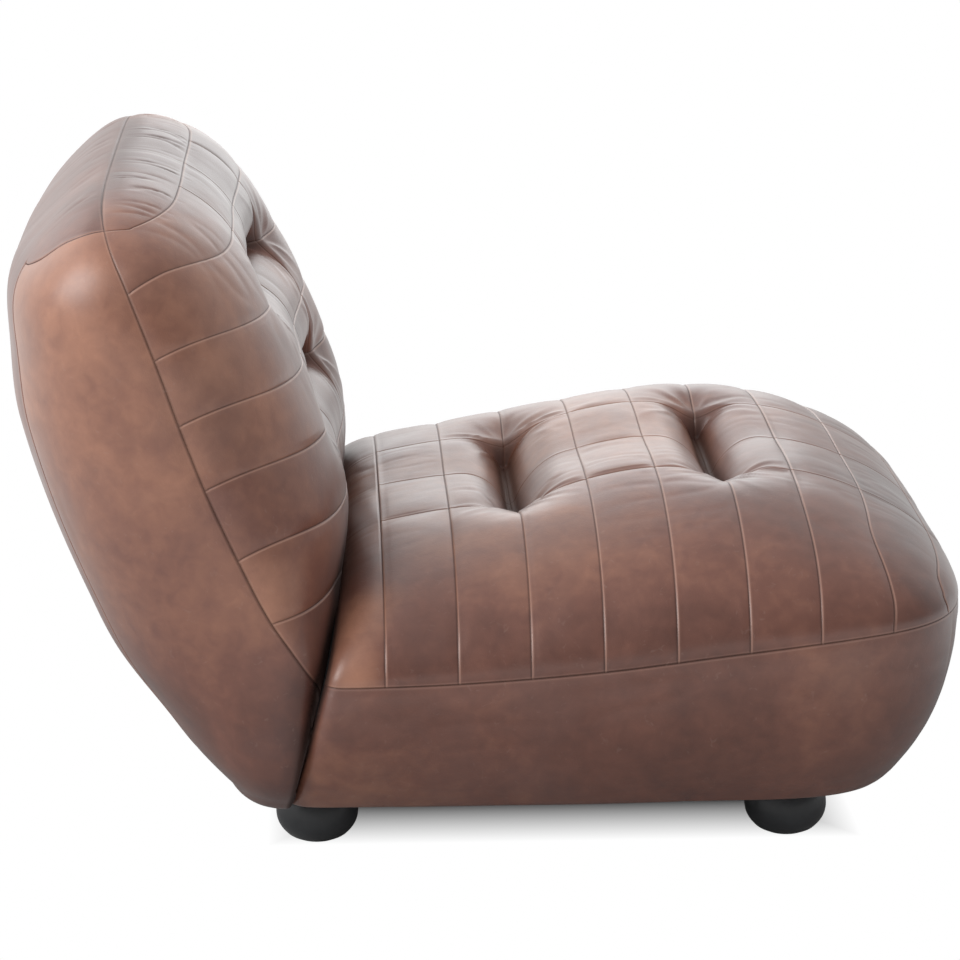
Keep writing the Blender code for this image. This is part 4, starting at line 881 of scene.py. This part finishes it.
# %% Seat top panel
# Painted shade on the nose, painted sheen on the crown and the middle pillow, and a painted
# highlight on the rear corner beside the gap.
NOSE_PAINTED_SHADE = 3.2
NOSE_RISE = (-0.30, -0.20)
NOSE_LOW_RISE = (0.38, -0.05)
PATCH_CONTRAST = 0.7
CROWN_PAINTED_SHEEN = 2.8
CROWN_Z_RISE = (0.27, 0.07)
CROWN_Y_RISE = (-0.30, 0.14)
PILLOW_PAINTED_SHEEN = 4.2
REAR_CORNER_PAINTED_HIGHLIGHT = 7.5
SEAT_GAP_REACH = 0.004


def nose_shade(y):
    """Painted shade that darkens the front of the seat."""
    return NOSE_PAINTED_SHADE * smooth_step(y, *NOSE_RISE)


row_places = [0.0] + [SEAT_BEHIND + SEAM_PITCH * k for k in range(SEAT_SEAMS)] + [SEAT_LENGTH]
seat = TuftedCover("seat_top", lambda s, t: seat_top(s, REAR_FACE_Y - t), row_places,
                   REAR_FACE_Y - SEAT_TUFT_YS[0], 6, (0, -1))
x, y, z = np.moveaxis(seat.points, -1, 0)
on_top = fade(x, 0.22, 4.0)
seat.sew_patches(1.0, -1)
seat.sew(from_seam(seat.along, seat.row_marks[1:2], 0), 0.8 * on_top)
seat.draw_in(y, SEAT_TUFT_YS, 0.014, 11)
# Painted shade beside the gap between the two units.
seat.shade(gap_shade(seat.points, SEAT_GAP_REACH))
lengthwise = creases(seat.along, seat.across, (0.075, 0.017, 21), (0.09, 0.06, 24), 0.35)
relief = seat.wrinkle(aged_seed=22, broad_seed=23, patchy_seed=25,
                      extra=-AGED_RELIEF * lengthwise * on_top)
# The tone is the patches' dye, with painted shade on the nose.
tone = seat.patch_tones(31) - nose_shade(y) * smooth_step(z, *NOSE_LOW_RISE)
# Painted sheen on the crown and the middle pillow, and a painted highlight on the rear corner
# beside the gap.
crown = smooth_step(z, *CROWN_Z_RISE) * smooth_step(y, *CROWN_Y_RISE)
pillow_sheen = fade(x, 0.20, 4.0) * fade(y - SEAT_CROWN_Y, 0.12, 4.0)
rear_corner_highlight = fade(rear_face_y(z) - y - 0.03, 0.035) * smooth_step(np.abs(x), 0.30, 0.08)
tone = PATCH_CONTRAST * tone + CROWN_PAINTED_SHEEN * crown
tone = tone + PILLOW_PAINTED_SHEEN * pillow_sheen + REAR_CORNER_PAINTED_HIGHLIGHT * rear_corner_highlight
seat_leather = leather_piece("seat_top_leather", seat.points, relief, seat, tone)

# %% [markdown]
# ## Seat sides and front
# Below the side seam there is one plain panel on each side and one across the front. They follow
# the edge of the top panel exactly, so that the two turned edges meet in the seam.

# %% Seat lower panels
FRAME_HALF_WIDTH = 0.325
FRAME_FRONT_Y = -0.3602
HEM = 0.020
HEM_LEVELS = 3
HEM_CALM_LEVELS = 8.0
LOW_TONE = 1.2
middle_edge = seat.points[len(seat.rows) // 2, 0]
down_shares, _ = grid_lines(
    [0.0, 1.0], lambda s: seat_low(np.tile(middle_edge, (len(s), 1)), REAR_SEAM_Y, s))


def seat_hem(edge):
    """The hem's end under the frame."""
    half = HALF_WIDTH * float(round_off(1.0 / LOW_DROP, *LOW_SIDE_POWERS))
    x, y, z = edge[..., 0] * (FRAME_HALF_WIDTH - HEM) / half, edge[..., 1], edge[..., 2]
    front = SEAT_CROWN_Y - FRAME_FRONT_Y
    turned = SEAT_CROWN_Y - (SEAT_CROWN_Y - y) * (front - HEM) / front
    return np.stack([x, np.where(y < SEAT_CROWN_Y, turned, y), z], axis=-1)


def low_panel(name, edge, rows_y, seed, flip):
    """One panel below the side seam, hung from its upper edge."""
    levels = [seat_low(edge, rows_y, share) for share in down_shares]
    low, turn = levels[-1], seat_hem(levels[-1]) - levels[-1]
    levels += [low + turn * (k + 1) / HEM_LEVELS for k in range(HEM_LEVELS)]
    points = np.stack(levels, axis=0)
    down, around = length_along(points, 0), length_along(points, 1)
    seams = Seams(points, [down, from_seam(around, (0, -1), 1)])
    relief = 0.0022 * soft_noise(down, around, 0.09, 0.16, seed)
    relief -= 0.0008 * creases(down, around, (0.03, 0.10, seed + 3))
    relief = seams.relief + relief * seams.calm()
    relief *= ramp(len(levels) - np.arange(len(levels)), 0.0, HEM_CALM_LEVELS)[:, None]
    # Painted shade beside the gap between the two units.
    seams.shade(gap_shade(points, SEAT_GAP_REACH))
    # Painted shade on the front of the seat.
    tone = LOW_TONE - nose_shade(points[..., 1])
    return leather_piece(name, points, relief, seams, tone, flip=flip)


seat_ys = REAR_FACE_Y - seat.rows
front_ys = np.full(len(seat.cols), SEAT_FRONT_Y)
right = low_panel("seat_side_leather_right", seat.points[:, 0], seat_ys, 41, False)
left = low_panel("seat_side_leather_left", seat.points[:, -1], seat_ys, 42, True)
front_panel = low_panel("seat_front_leather", seat.points[-1], front_ys, 43, False)

# %% [markdown]
# ## Back front
# The back's face repeats the seat's patches and tufts. The band between the top seam and the
# first cross seam is gathered, so it carries many fine front-to-back creases. Its flanks are
# painted paler than the middle as light, more so higher up, the upper middle is painted darker
# as shade, and painted shade darkens the skin where it goes into the gap.

# %% Back front panel
BAND_RISE = (BACK_HEIGHT * 0.955, 0.010)
LOW_HELD_RISE = (0.16, -0.02)
LOW_CALM = 0.05
# Painted light on the flanks, more of it higher up; painted shade on the upper middle and beside
# the gap.
FLANK_PAINTED_LIGHT = 3.4
HIGH_FLANK_PAINTED_LIGHT = 2.2
MIDDLE_PAINTED_SHADE = 4.0
GAP_PAINTED_SHADE = 4.0
BACK_GAP_REACH = 0.012
heights = [BASE_HEIGHT] + [BACK_HEIGHT * share for share in BACK_CROSS_SEAMS] + [BACK_HEIGHT]
face = TuftedCover("back_front", lambda s, t: back_surface(s, t, False), heights,
                   BACK_TUFT_HEIGHTS[1], 4, (-1,), flip=True)
face.sew_patches(-1.0, -2)
face.draw_in(face.t, BACK_TUFT_HEIGHTS, 0.012, 15)
# Painted shade beside the gap between the two units.
face.shade(gap_shade(face.points, BACK_GAP_REACH))
gathered = gathers(face.along, face.across, (0.120, 0.019, 61), (0.080, 0.035, 64), 0.5)
gathered *= ramp(face.t, *BAND_RISE)
relief = face.wrinkle(aged_seed=62, broad_seed=63, patchy_seed=66, extra=-gathered,
                      held=ramp(face.t, *LOW_HELD_RISE))
relief *= ramp(face.t, BASE_HEIGHT, LOW_CALM)
# Tone: the patches' dye, with painted light on the flanks, painted shade on the upper middle and
# painted shade beside the gap.
pale = FLANK_PAINTED_LIGHT + HIGH_FLANK_PAINTED_LIGHT * smooth_step(face.t, 0.42, 0.2)
tone = face.patch_tones(65) + pale * smooth_step(np.abs(face.s), 0.5, 0.4)
tone = tone - MIDDLE_PAINTED_SHADE * fade(face.s, 0.5, 4.0) * smooth_step(face.t, 0.55, 0.1)
tone = tone - GAP_PAINTED_SHADE / GAP_DARK * gap_shade(face.points, 0.045)
back_leather = leather_piece("back_front_leather", face.points, relief, face, tone, flip=True)

# %% [markdown]
# ## Back sides and rear
# A plain panel covers each side of the back. The rear panel is one long hide that climbs from
# the base, rolls over the top and comes down to the seam on the front edge. All three are cut
# from one grid, whose lines slope up towards the outline.

# %% Back rear panels
SIDE_EDGE = 0.725
SIDE_TOP = heights[7]
SIDE_TOP_DROP = 0.035
REAR_TONE = 0.6
# Painted light on the side panels, by height: lighter near the top and darker towards the base.
SIDE_LIGHT_BY_HEIGHT = ((0.10, 0.25, 0.40, 0.60, 0.70), (-2.0, 0.8, 3.5, 7.0, 7.5))
rear_marks = [-1.0, -SIDE_EDGE, SIDE_EDGE, 1.0]
rear_cols, (_, first, last, _) = grid_lines(
    rear_marks, lambda s: back_surface(s, np.full_like(s, 0.45), True))
rear_rows, (_, row_line, _) = grid_lines(
    [BASE_HEIGHT, SIDE_TOP, BACK_HEIGHT], lambda t: back_surface(np.full_like(t, 0.25), t, True))
grid_t, grid_s = np.meshgrid(rear_rows, rear_cols, indexing="ij")
inward = ramp(1.0 - np.abs(grid_s), 0.0, 1.0 - SIDE_EDGE)
window = np.minimum(ramp(grid_t, BACK_CROWN, SIDE_TOP - BACK_CROWN),
                    ramp(grid_t, BACK_HEIGHT, SIDE_TOP - BACK_HEIGHT))
slope = SHOULDER_LIFT * (1.0 - smooth_step(inward * 1.6)) - SIDE_TOP_DROP * smooth_step(inward)
rear_points = back_surface(grid_s, grid_t + slope * window, True)
along, across = length_along(rear_points, 0), length_along(rear_points, 1)
across = across - across[:, [len(rear_cols) // 2]]
up = along - along[[row_line], :]
sideways = np.minimum(across - across[:, [first]], across[:, [last]] - across)
seams = Seams(rear_points, [from_seam(across, (0, -1), 1), from_seam(along, (-1,), 0)])
seams.sew(from_seam(across, (first, last), 1), 0.9, fade(np.maximum(up, 0.0), 0.003))
seams.sew(up, 1.0, fade(np.maximum(sideways, 0.0), 0.003))
# Painted shade beside the gap between the two units.
seams.shade(gap_shade(rear_points, BACK_GAP_REACH))
gathered = gathers(along, across, (0.100, 0.019, 72), (0.08, 0.035, 74), 0.4)
relief = 0.0020 * soft_noise(along, across, 0.12, 0.15, 71)
relief -= gathered * fade(along - along[[-1], :], 0.065)
relief -= 0.0008 * creases(along, across, (0.12, 0.05, 73), (0.2, 0.2, 75), 0.2)
relief = seams.relief + relief * seams.calm(0.010) * corner_calm(rear_points, WRINKLE_CALM)
relief *= ramp(grid_t, BASE_HEIGHT, LOW_CALM)
# The side panels' tone is painted light by height, with painted shade beside the gap.
side_tone_and_light = np.interp(rear_points[..., 2], *SIDE_LIGHT_BY_HEIGHT)
side_tone_and_light -= 3.5 * fade(rear_points[..., 1] - rear_face_y(rear_points[..., 2]), 0.055)
rear_tone = np.full_like(side_tone_and_light, REAR_TONE)
row, col = np.arange(len(rear_rows) - 1)[:, None], np.arange(len(rear_cols) - 1)[None, :]
on_right, on_left = (row < row_line) & (col < first), (row < row_line) & (col >= last)
rear_leather, back_right, back_left = (
    leather_piece(name, rear_points, relief, seams, tone, keep=keep) for name, tone, keep in (
        ("back_rear_leather", rear_tone, ~(on_right | on_left)),
        ("back_side_leather_right", side_tone_and_light, on_right),
        ("back_side_leather_left", side_tone_and_light, on_left)))

# %% [markdown]
# ## Bun feet
# Each foot is turned on a lathe from black-lacquered wood: a flattened ball with a small flat
# sole. It grows ring on ring up the foot's axis, as wide at each height as the turner's profile.

# %% Turned feet
FOOT_RADIUS = 0.0455
FOOT_STEPS = 72
FOOT_RINGS = 28
RING_CROWDING = 1.3
FEET = ("foot_front_left", "foot_front_right", "foot_rear_left", "foot_rear_right")
bun = smooth_curve([(0.0, 0.52), (0.02, 0.58), (0.05, 0.67), (0.14, 0.82), (0.26, 0.94),
                    (0.42, 1.0), (0.58, 0.985), (0.74, 0.92), (0.87, 0.80), (0.96, 0.66),
                    (1.0, 0.60)])


def turned_foot(node):
    """A smooth bun foot in the place of one plain foot."""
    low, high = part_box(node)
    centre, height = (low + high) / 2.0, high.z - low.z
    shares = [float(share) for share in np.linspace(0.0, 1.0, FOOT_RINGS) ** RING_CROWDING]
    bpy.ops.object.select_all(action="DESELECT")
    bpy.ops.mesh.primitive_circle_add(
        vertices=FOOT_STEPS, radius=FOOT_RADIUS * float(bun(0.0)), fill_type="NGON",
        enter_editmode=True, location=(centre.x, centre.y, low.z))
    for before, share in zip(shares, shares[1:]):
        grow, rise = float(bun(share) / bun(before)), height * (share - before)
        middle = (centre.x, centre.y, low.z + height * share)
        bpy.ops.mesh.extrude_region_move(TRANSFORM_OT_translate={"value": (0.0, 0.0, rise)})
        bpy.ops.transform.resize(value=(grow, grow, 1.0), center_override=middle)
    bpy.ops.mesh.select_all(action="SELECT")
    bpy.ops.mesh.normals_make_consistent(inside=False)
    bpy.ops.object.mode_set(mode="OBJECT")
    bpy.ops.object.transform_apply(location=True, rotation=True, scale=True)
    bpy.ops.object.shade_smooth_by_angle(angle=math.radians(50.0))
    foot = bpy.context.object
    foot.name = node + "_turned"
    return foot


feet = {node: turned_foot(node) for node in FEET}
print("feet:", len(feet))

# %% [markdown]
# ## A small language for shader nodes
# Node trees are easier to read as sums. A Wire is one output of a node; adding or multiplying
# wires makes the Math nodes.

# %% Shader wires
class Wire:
    """One output of a shader node, which can be used in sums."""

    def __init__(self, tree, socket):
        self.tree = tree
        self.socket = socket

    def math(self, operation, other, first=None):
        return add_node(self.tree, "ShaderNodeMath", {"operation": operation}, 0,
                        _0=self if first is None else first, _1=other)

    def __add__(self, other):
        return self.math("ADD", other)

    def __sub__(self, other):
        return self.math("SUBTRACT", other)

    def __rsub__(self, other):
        return self.math("SUBTRACT", self, first=other)

    def __mul__(self, other):
        return self.math("MULTIPLY", other)

    __radd__ = __add__
    __rmul__ = __mul__

    def clamp(self):
        return add_node(self.tree, "ShaderNodeClamp", Value=self)

    def cloud(self, scale, detail=3.0, distortion=0.0, roughness=0.5):
        """Soft noise at this wire's coordinates."""
        return add_node(self.tree, "ShaderNodeTexNoise", Vector=self, Scale=scale, Detail=detail,
                        Distortion=distortion, Roughness=roughness)

    def vector(self, operation, output=0, **inputs):
        """A vector Math node on this wire."""
        settings = {"operation": operation}
        return add_node(self.tree, "ShaderNodeVectorMath", settings, output, _0=self, **inputs)

    def mix(self, first, second):
        """Mix two colours by this wire."""
        settings = {"data_type": "RGBA", "blend_type": "MIX"}
        return add_node(self.tree, "ShaderNodeMix", settings, 2, _0=self, _6=first, _7=second)

    def into(self, node, name):
        """Link this wire to a named input of a node."""
        self.tree.links.new(self.socket, node.inputs[name])

    def bump(self, shader, strength, distance):
        """Make this wire the height of a shader's fine bump."""
        add_node(self.tree, "ShaderNodeBump", Strength=strength, Distance=distance,
                 Height=self).into(shader, "Normal")


def add_node(tree, kind, settings=None, output=0, **inputs):
    """Add any node: first its settings, then the values or links of its sockets."""
    node = tree.nodes.new(kind)
    for name, value in (settings or {}).items():
        if name == "stops":
            ramp_line = node.color_ramp
            while len(ramp_line.elements) < len(value):
                ramp_line.elements.new(1.0)
            for element, (place, colour) in zip(ramp_line.elements, value):
                element.position, element.color = place, (*colour, 1.0)
        else:
            setattr(node, name, value)
    for name, value in inputs.items():
        socket = node.inputs[int(name[1:]) if name[0] == "_" else name.replace("_", " ")]
        if isinstance(value, Wire):
            tree.links.new(value.socket, socket)
        else:
            socket.default_value = value
    return Wire(tree, node.outputs[output])


def new_material(name, **values):
    """A material, its node tree, its Principled shader with plain values, and its coordinates."""
    material = bpy.data.materials.new(name)
    material.use_nodes = True
    tree = material.node_tree
    shader = tree.nodes["Principled BSDF"]
    for key, value in values.items():
        shader.inputs[key.replace("_", " ")].default_value = value
    return material, tree, shader, add_node(tree, "ShaderNodeTexCoord", None, 3)


def ray_kinds(tree):
    """Wires that say whether a ray comes from the camera, a reflection or a clear surface."""
    path = tree.nodes.new("ShaderNodeLightPath")
    kinds = ("Is Camera Ray", "Is Glossy Ray", "Is Transmission Ray")
    return (Wire(tree, path.outputs[kind]) for kind in kinds)


# %% [markdown]
# ## Aged leather
# The hide was dyed brown, then rubbed and faded by use. Its colour comes from clouds of three
# sizes, a tone for each patch that also carries painted light and shade, painted shade in the
# seams' creases, the tufts' slots and beside the gap, and a pale line on the lips beside the
# seams that is wear and a painted highlight. Fine grain and small creases go to the bump.

# %% Leather material
BROWNS = [(0.34, (0.082, 0.029, 0.021)), (0.46, (0.128, 0.045, 0.029)),
          (0.54, (0.163, 0.059, 0.038)), (0.66, (0.245, 0.100, 0.060)),
          (0.80, (0.370, 0.165, 0.098))]
PLUM = (0.118, 0.066, 0.060, 1.0)
# The next colour is the lips' pale line of wear and painted highlight; the one after is the
# painted shade of seam creases, slots and the gap.
WORN_HIGHLIGHT = (0.46, 0.26, 0.19, 1.0)
SHADE_COLOUR = (0.016, 0.008, 0.006, 1.0)
SCUFFED = (0.34, 0.23, 0.19, 1.0)
leather, tree, shader, coordinates = new_material(
    "aged_brown_leather", IOR=1.5, Coat_Roughness=0.36)
thread, lap, patch_tone_and_light = (add_node(tree, "ShaderNodeAttribute", {"attribute_name": label}, 2)
                      for label in ("thread", "lap", "tone"))
cloud = coordinates.cloud
big, middle_clouds, small = cloud(3.2, 3.0, 0.6), cloud(12.0, 4.0, 0.8), cloud(55.0, 4.0, 0.4)
# The tone attribute carries each patch's dye together with painted light and shade.
mottle = big * 0.56 + middle_clouds * 0.25 + small * 0.19 + patch_tone_and_light * 0.038
brown = add_node(tree, "ShaderNodeValToRGB", {"stops": BROWNS}, Fac=mottle)
plum = ((cloud(6.0, 3.0, 0.3) - 0.5) * 5.0).clamp()
scuffs = ((cloud(90.0, 2.0, 1.5) - 0.66) * 9.0).clamp()
colour = (plum * 0.30).mix(brown, PLUM)
# The lips' pale line: wear, with a painted highlight where the folded edge catches light.
colour = (lap * 0.50).mix(colour, WORN_HIGHLIGHT)
# Painted shade in seam creases, slot bottoms and beside the gap.
colour = (thread * 0.80).mix(colour, SHADE_COLOUR)
(scuffs * 0.16).mix(colour, SCUFFED).into(shader, "Base Color")
(0.68 * (1.0 - thread)).into(shader, "Coat Weight")
(0.42 + (middle_clouds - 0.5) * 0.24 + thread * 0.25).into(shader, "Roughness")
grain = add_node(tree, "ShaderNodeTexVoronoi", Vector=coordinates, Scale=650.0)
height = grain * 0.35 + cloud(120.0, 5.0, 1.2, 0.6) * 0.9 + small * 0.8
height.bump(shader, 0.20, 0.0012)
print("leather nodes:", len(tree.nodes))

# %% [markdown]
# ## Lacquer, lining, wood and steel
# The feet have a satin black lacquer that barely shows the wood. The inner pieces keep the
# frame's shapes and get quiet finishes of their own.

# %% Other materials
INK, DUSTY_INK = (0.020, 0.021, 0.023, 1.0), (0.042, 0.044, 0.047, 1.0)
lacquer, tree, shader, coordinates = new_material(
    "satin_black_lacquer", Roughness=0.34, Coat_Weight=0.10, Coat_Roughness=0.2)
dust = coordinates.cloud(40.0, 4.0, 0.5)
dust.mix(INK, DUSTY_INK).into(shader, "Base Color")
(0.28 + dust * 0.14).into(shader, "Roughness")
coordinates.cloud(300.0).bump(shader, 0.08, 0.0004)


def plain_material(name, dark, light, scale, roughness, metallic=0.0):
    """A quiet finish: two tones of one colour and a fine bump."""
    material, _, shader, coordinates = new_material(name, Roughness=roughness, Metallic=metallic)
    coordinates.cloud(scale, 4.0).mix((*dark, 1.0), (*light, 1.0)).into(shader, "Base Color")
    coordinates.cloud(scale * 12.0).bump(shader, 0.2, 0.0005)
    return material


FINISHES = {
    "cream_foam": ("cream_foam_open_cell", (0.70, 0.60, 0.40), (0.82, 0.74, 0.54), 30.0, 0.95),
    "black_lining": ("black_lining_cloth", (0.012, 0.012, 0.013), (0.03, 0.03, 0.032), 60.0, 0.9),
    "beech": ("beech_planed", (0.48, 0.32, 0.18), (0.62, 0.44, 0.27), 18.0, 0.6),
    "woven_webbing": ("webbing_woven", (0.10, 0.08, 0.06), (0.20, 0.16, 0.12), 80.0, 0.85),
    "zinc_steel": ("zinc_plated_steel", (0.50, 0.50, 0.49), (0.66, 0.66, 0.64), 50.0, 0.35, 1.0)}
inner_finishes = {slot: plain_material(*finish) for slot, finish in FINISHES.items()}
print("materials:", len(bpy.data.materials))

# %% [markdown]
# ## Dress the pieces
# Every new piece rides on the chair's one body, and the plain nodes that it stands for are
# hidden. The leather covers stand for the foam below them too.

# %% Ride, replace and paint
COVERS = (
    (seat_leather, ["seat_top_cover", "seat_foam_rear", "seat_foam_middle", "seat_foam_front",
                    "seat_pull_strip_rear", "seat_pull_strip_front"]),
    (front_panel, ["seat_front_panel", "seat_foam_nose"]),
    (right, ["seat_side_panel_right", "seat_foam_side_right"]),
    (left, ["seat_side_panel_left", "seat_foam_side_left"]),
    (back_leather, ["back_front_cover", "back_foam_lower", "back_foam_middle", "back_foam_upper",
                    "back_pull_strip_lower", "back_pull_strip_upper"]),
    (rear_leather, ["back_rear_cover", "back_foam_top", "back_foam_rear_lower",
                    "back_foam_rear_upper"]),
    (back_right, ["back_side_panel_right", "back_foam_side_right"]),
    (back_left, ["back_side_panel_left", "back_foam_side_left"]))
for piece, nodes in COVERS:
    piece.data.materials.append(leather)
    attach(piece, "root")
    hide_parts(*nodes)
for node, foot in feet.items():
    foot.data.materials.append(lacquer)
    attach(foot, "root")
    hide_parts(node)
slots = {entry["node"]: entry["material_slot"] for entry in frame["record"]["subparts"]}
for node, item in frame["nodes"].items():
    finish = inner_finishes.get(slots[node])
    if finish is not None:
        item.data.materials.clear()
        item.data.materials.append(finish)
print("covers:", len(COVERS))

# %% [markdown]
# ## Floor
# The photograph was taken in a white studio. The floor stays white to the horizon and keeps only
# the chair's own shadow, which is cut off a little outside the feet.

# %% Studio floor
WHITE, PAPER = (1.0, 1.0, 1.0, 1.0), (0.40, 0.40, 0.40, 1.0)
bpy.ops.mesh.primitive_plane_add(size=14.0, location=(0.0, 0.0, 0.0))
floor = bpy.context.object
floor.name = "studio_floor"
paper, tree, shader, where = new_material("white_paper", Roughness=0.9, Base_Color=PAPER)
camera_ray, glossy_ray, through_ray = ray_kinds(tree)
moved = where.vector("ADD", _1=(0.0, 0.083, 0.0))
distance, sides = moved.vector("LENGTH", 1), moved.vector("ABSOLUTE")
beside, beyond = (add_node(tree, "ShaderNodeSeparateXYZ", None, axis, Vector=sides)
                  for axis in (0, 1))
far = ((beside - 0.19) * 8.0).clamp().math("MAXIMUM", ((beyond - 0.23) * 10.0).clamp())
open_floor = ((distance - 0.7) * 1.6).clamp()
glow = add_node(tree, "ShaderNodeEmission", Color=WHITE, Strength=1.0)
seen = (camera_ray * far + (glossy_ray + through_ray) * open_floor).clamp()
white = add_node(tree, "ShaderNodeMixShader", _0=seen, _1=Wire(tree, shader.outputs[0]), _2=glow)
white.into(tree.nodes["Material Output"], "Surface")
floor.data.materials.append(paper)
print("floor nodes:", len(tree.nodes))

# %% [markdown]
# ## Light
# The room is white all round, and reflections see it brightest beyond the chair, towards the
# rear. A broad soft lamp hangs behind the back, on the sitter's right, and two weak ones light
# the far side.

# %% Studio light
world = bpy.data.worlds.new("white_studio")
bpy.context.scene.world = world
world.use_nodes = True
tree = world.node_tree
tree.nodes.clear()
camera_ray, glossy_ray, through_ray = ray_kinds(tree)
direction = add_node(tree, "ShaderNodeTexCoord")
ahead = direction.vector("DOT_PRODUCT", 1, _1=(0.85, 0.5, 0.0))
white_seen = (camera_ray + glossy_ray + through_ray).clamp()
shown = (camera_ray + through_ray + glossy_ray * (0.56 + ahead * 0.52)).clamp()
dim = add_node(tree, "ShaderNodeBackground", Color=WHITE, Strength=0.92)
bright = add_node(tree, "ShaderNodeBackground", Color=WHITE, Strength=shown)
sky = add_node(tree, "ShaderNodeMixShader", _0=white_seen, _1=dim, _2=bright)
sky.into(tree.nodes.new("ShaderNodeOutputWorld"), "Surface")


def aim(item, place, direction):
    """Put a lamp or a camera in the scene, looking along a direction."""
    item.location = place
    item.rotation_euler = direction.to_track_quat("-Z", "Y").to_euler()
    bpy.context.scene.collection.objects.link(item)


def soft_lamp(name, place, target, size, power):
    """A square soft lamp that looks at a point."""
    data = bpy.data.lights.new(name, "AREA")
    data.size, data.energy = size, power
    aim(bpy.data.objects.new(name, data), place, Vector(target) - Vector(place))


soft_lamp("far_low_lamp", (3.2, -0.3, 1.15), (0.0, 0.0, 0.3), 1.6, 9.0)
soft_lamp("far_rear_lamp", (2.4, 2.6, 2.2), (0.0, 0.1, 0.3), 2.4, 8.0)
soft_lamp("rear_side_lamp", (-1.5, 3.35, 2.35), (0.0, 0.2, 0.4), 2.5, 95.0)
print("lamps:", len(bpy.data.lights))

# %% [markdown]
# ## Camera
# The photograph looks at the sitter's right side from a little above and ahead, through a long
# lens that keeps the far edges almost parallel to the near ones.

# %% Camera
ELEVATION = math.radians(15.0)
YAW = math.radians(2.6)
AIM = Vector((0.0, -0.0017, 0.331))
DISTANCE = 4.06
look = Vector((math.cos(ELEVATION) * math.cos(YAW), -math.cos(ELEVATION) * math.sin(YAW),
               -math.sin(ELEVATION)))
camera_data = bpy.data.cameras.new("camera")
camera_data.lens, camera_data.sensor_width = 130.0, 36.0
camera = bpy.data.objects.new("camera", camera_data)
aim(camera, AIM - look * DISTANCE, look)
bpy.context.scene.camera = camera
bpy.context.scene.view_settings.view_transform = "Standard"
print("camera at", [round(v, 3) for v in camera.location])
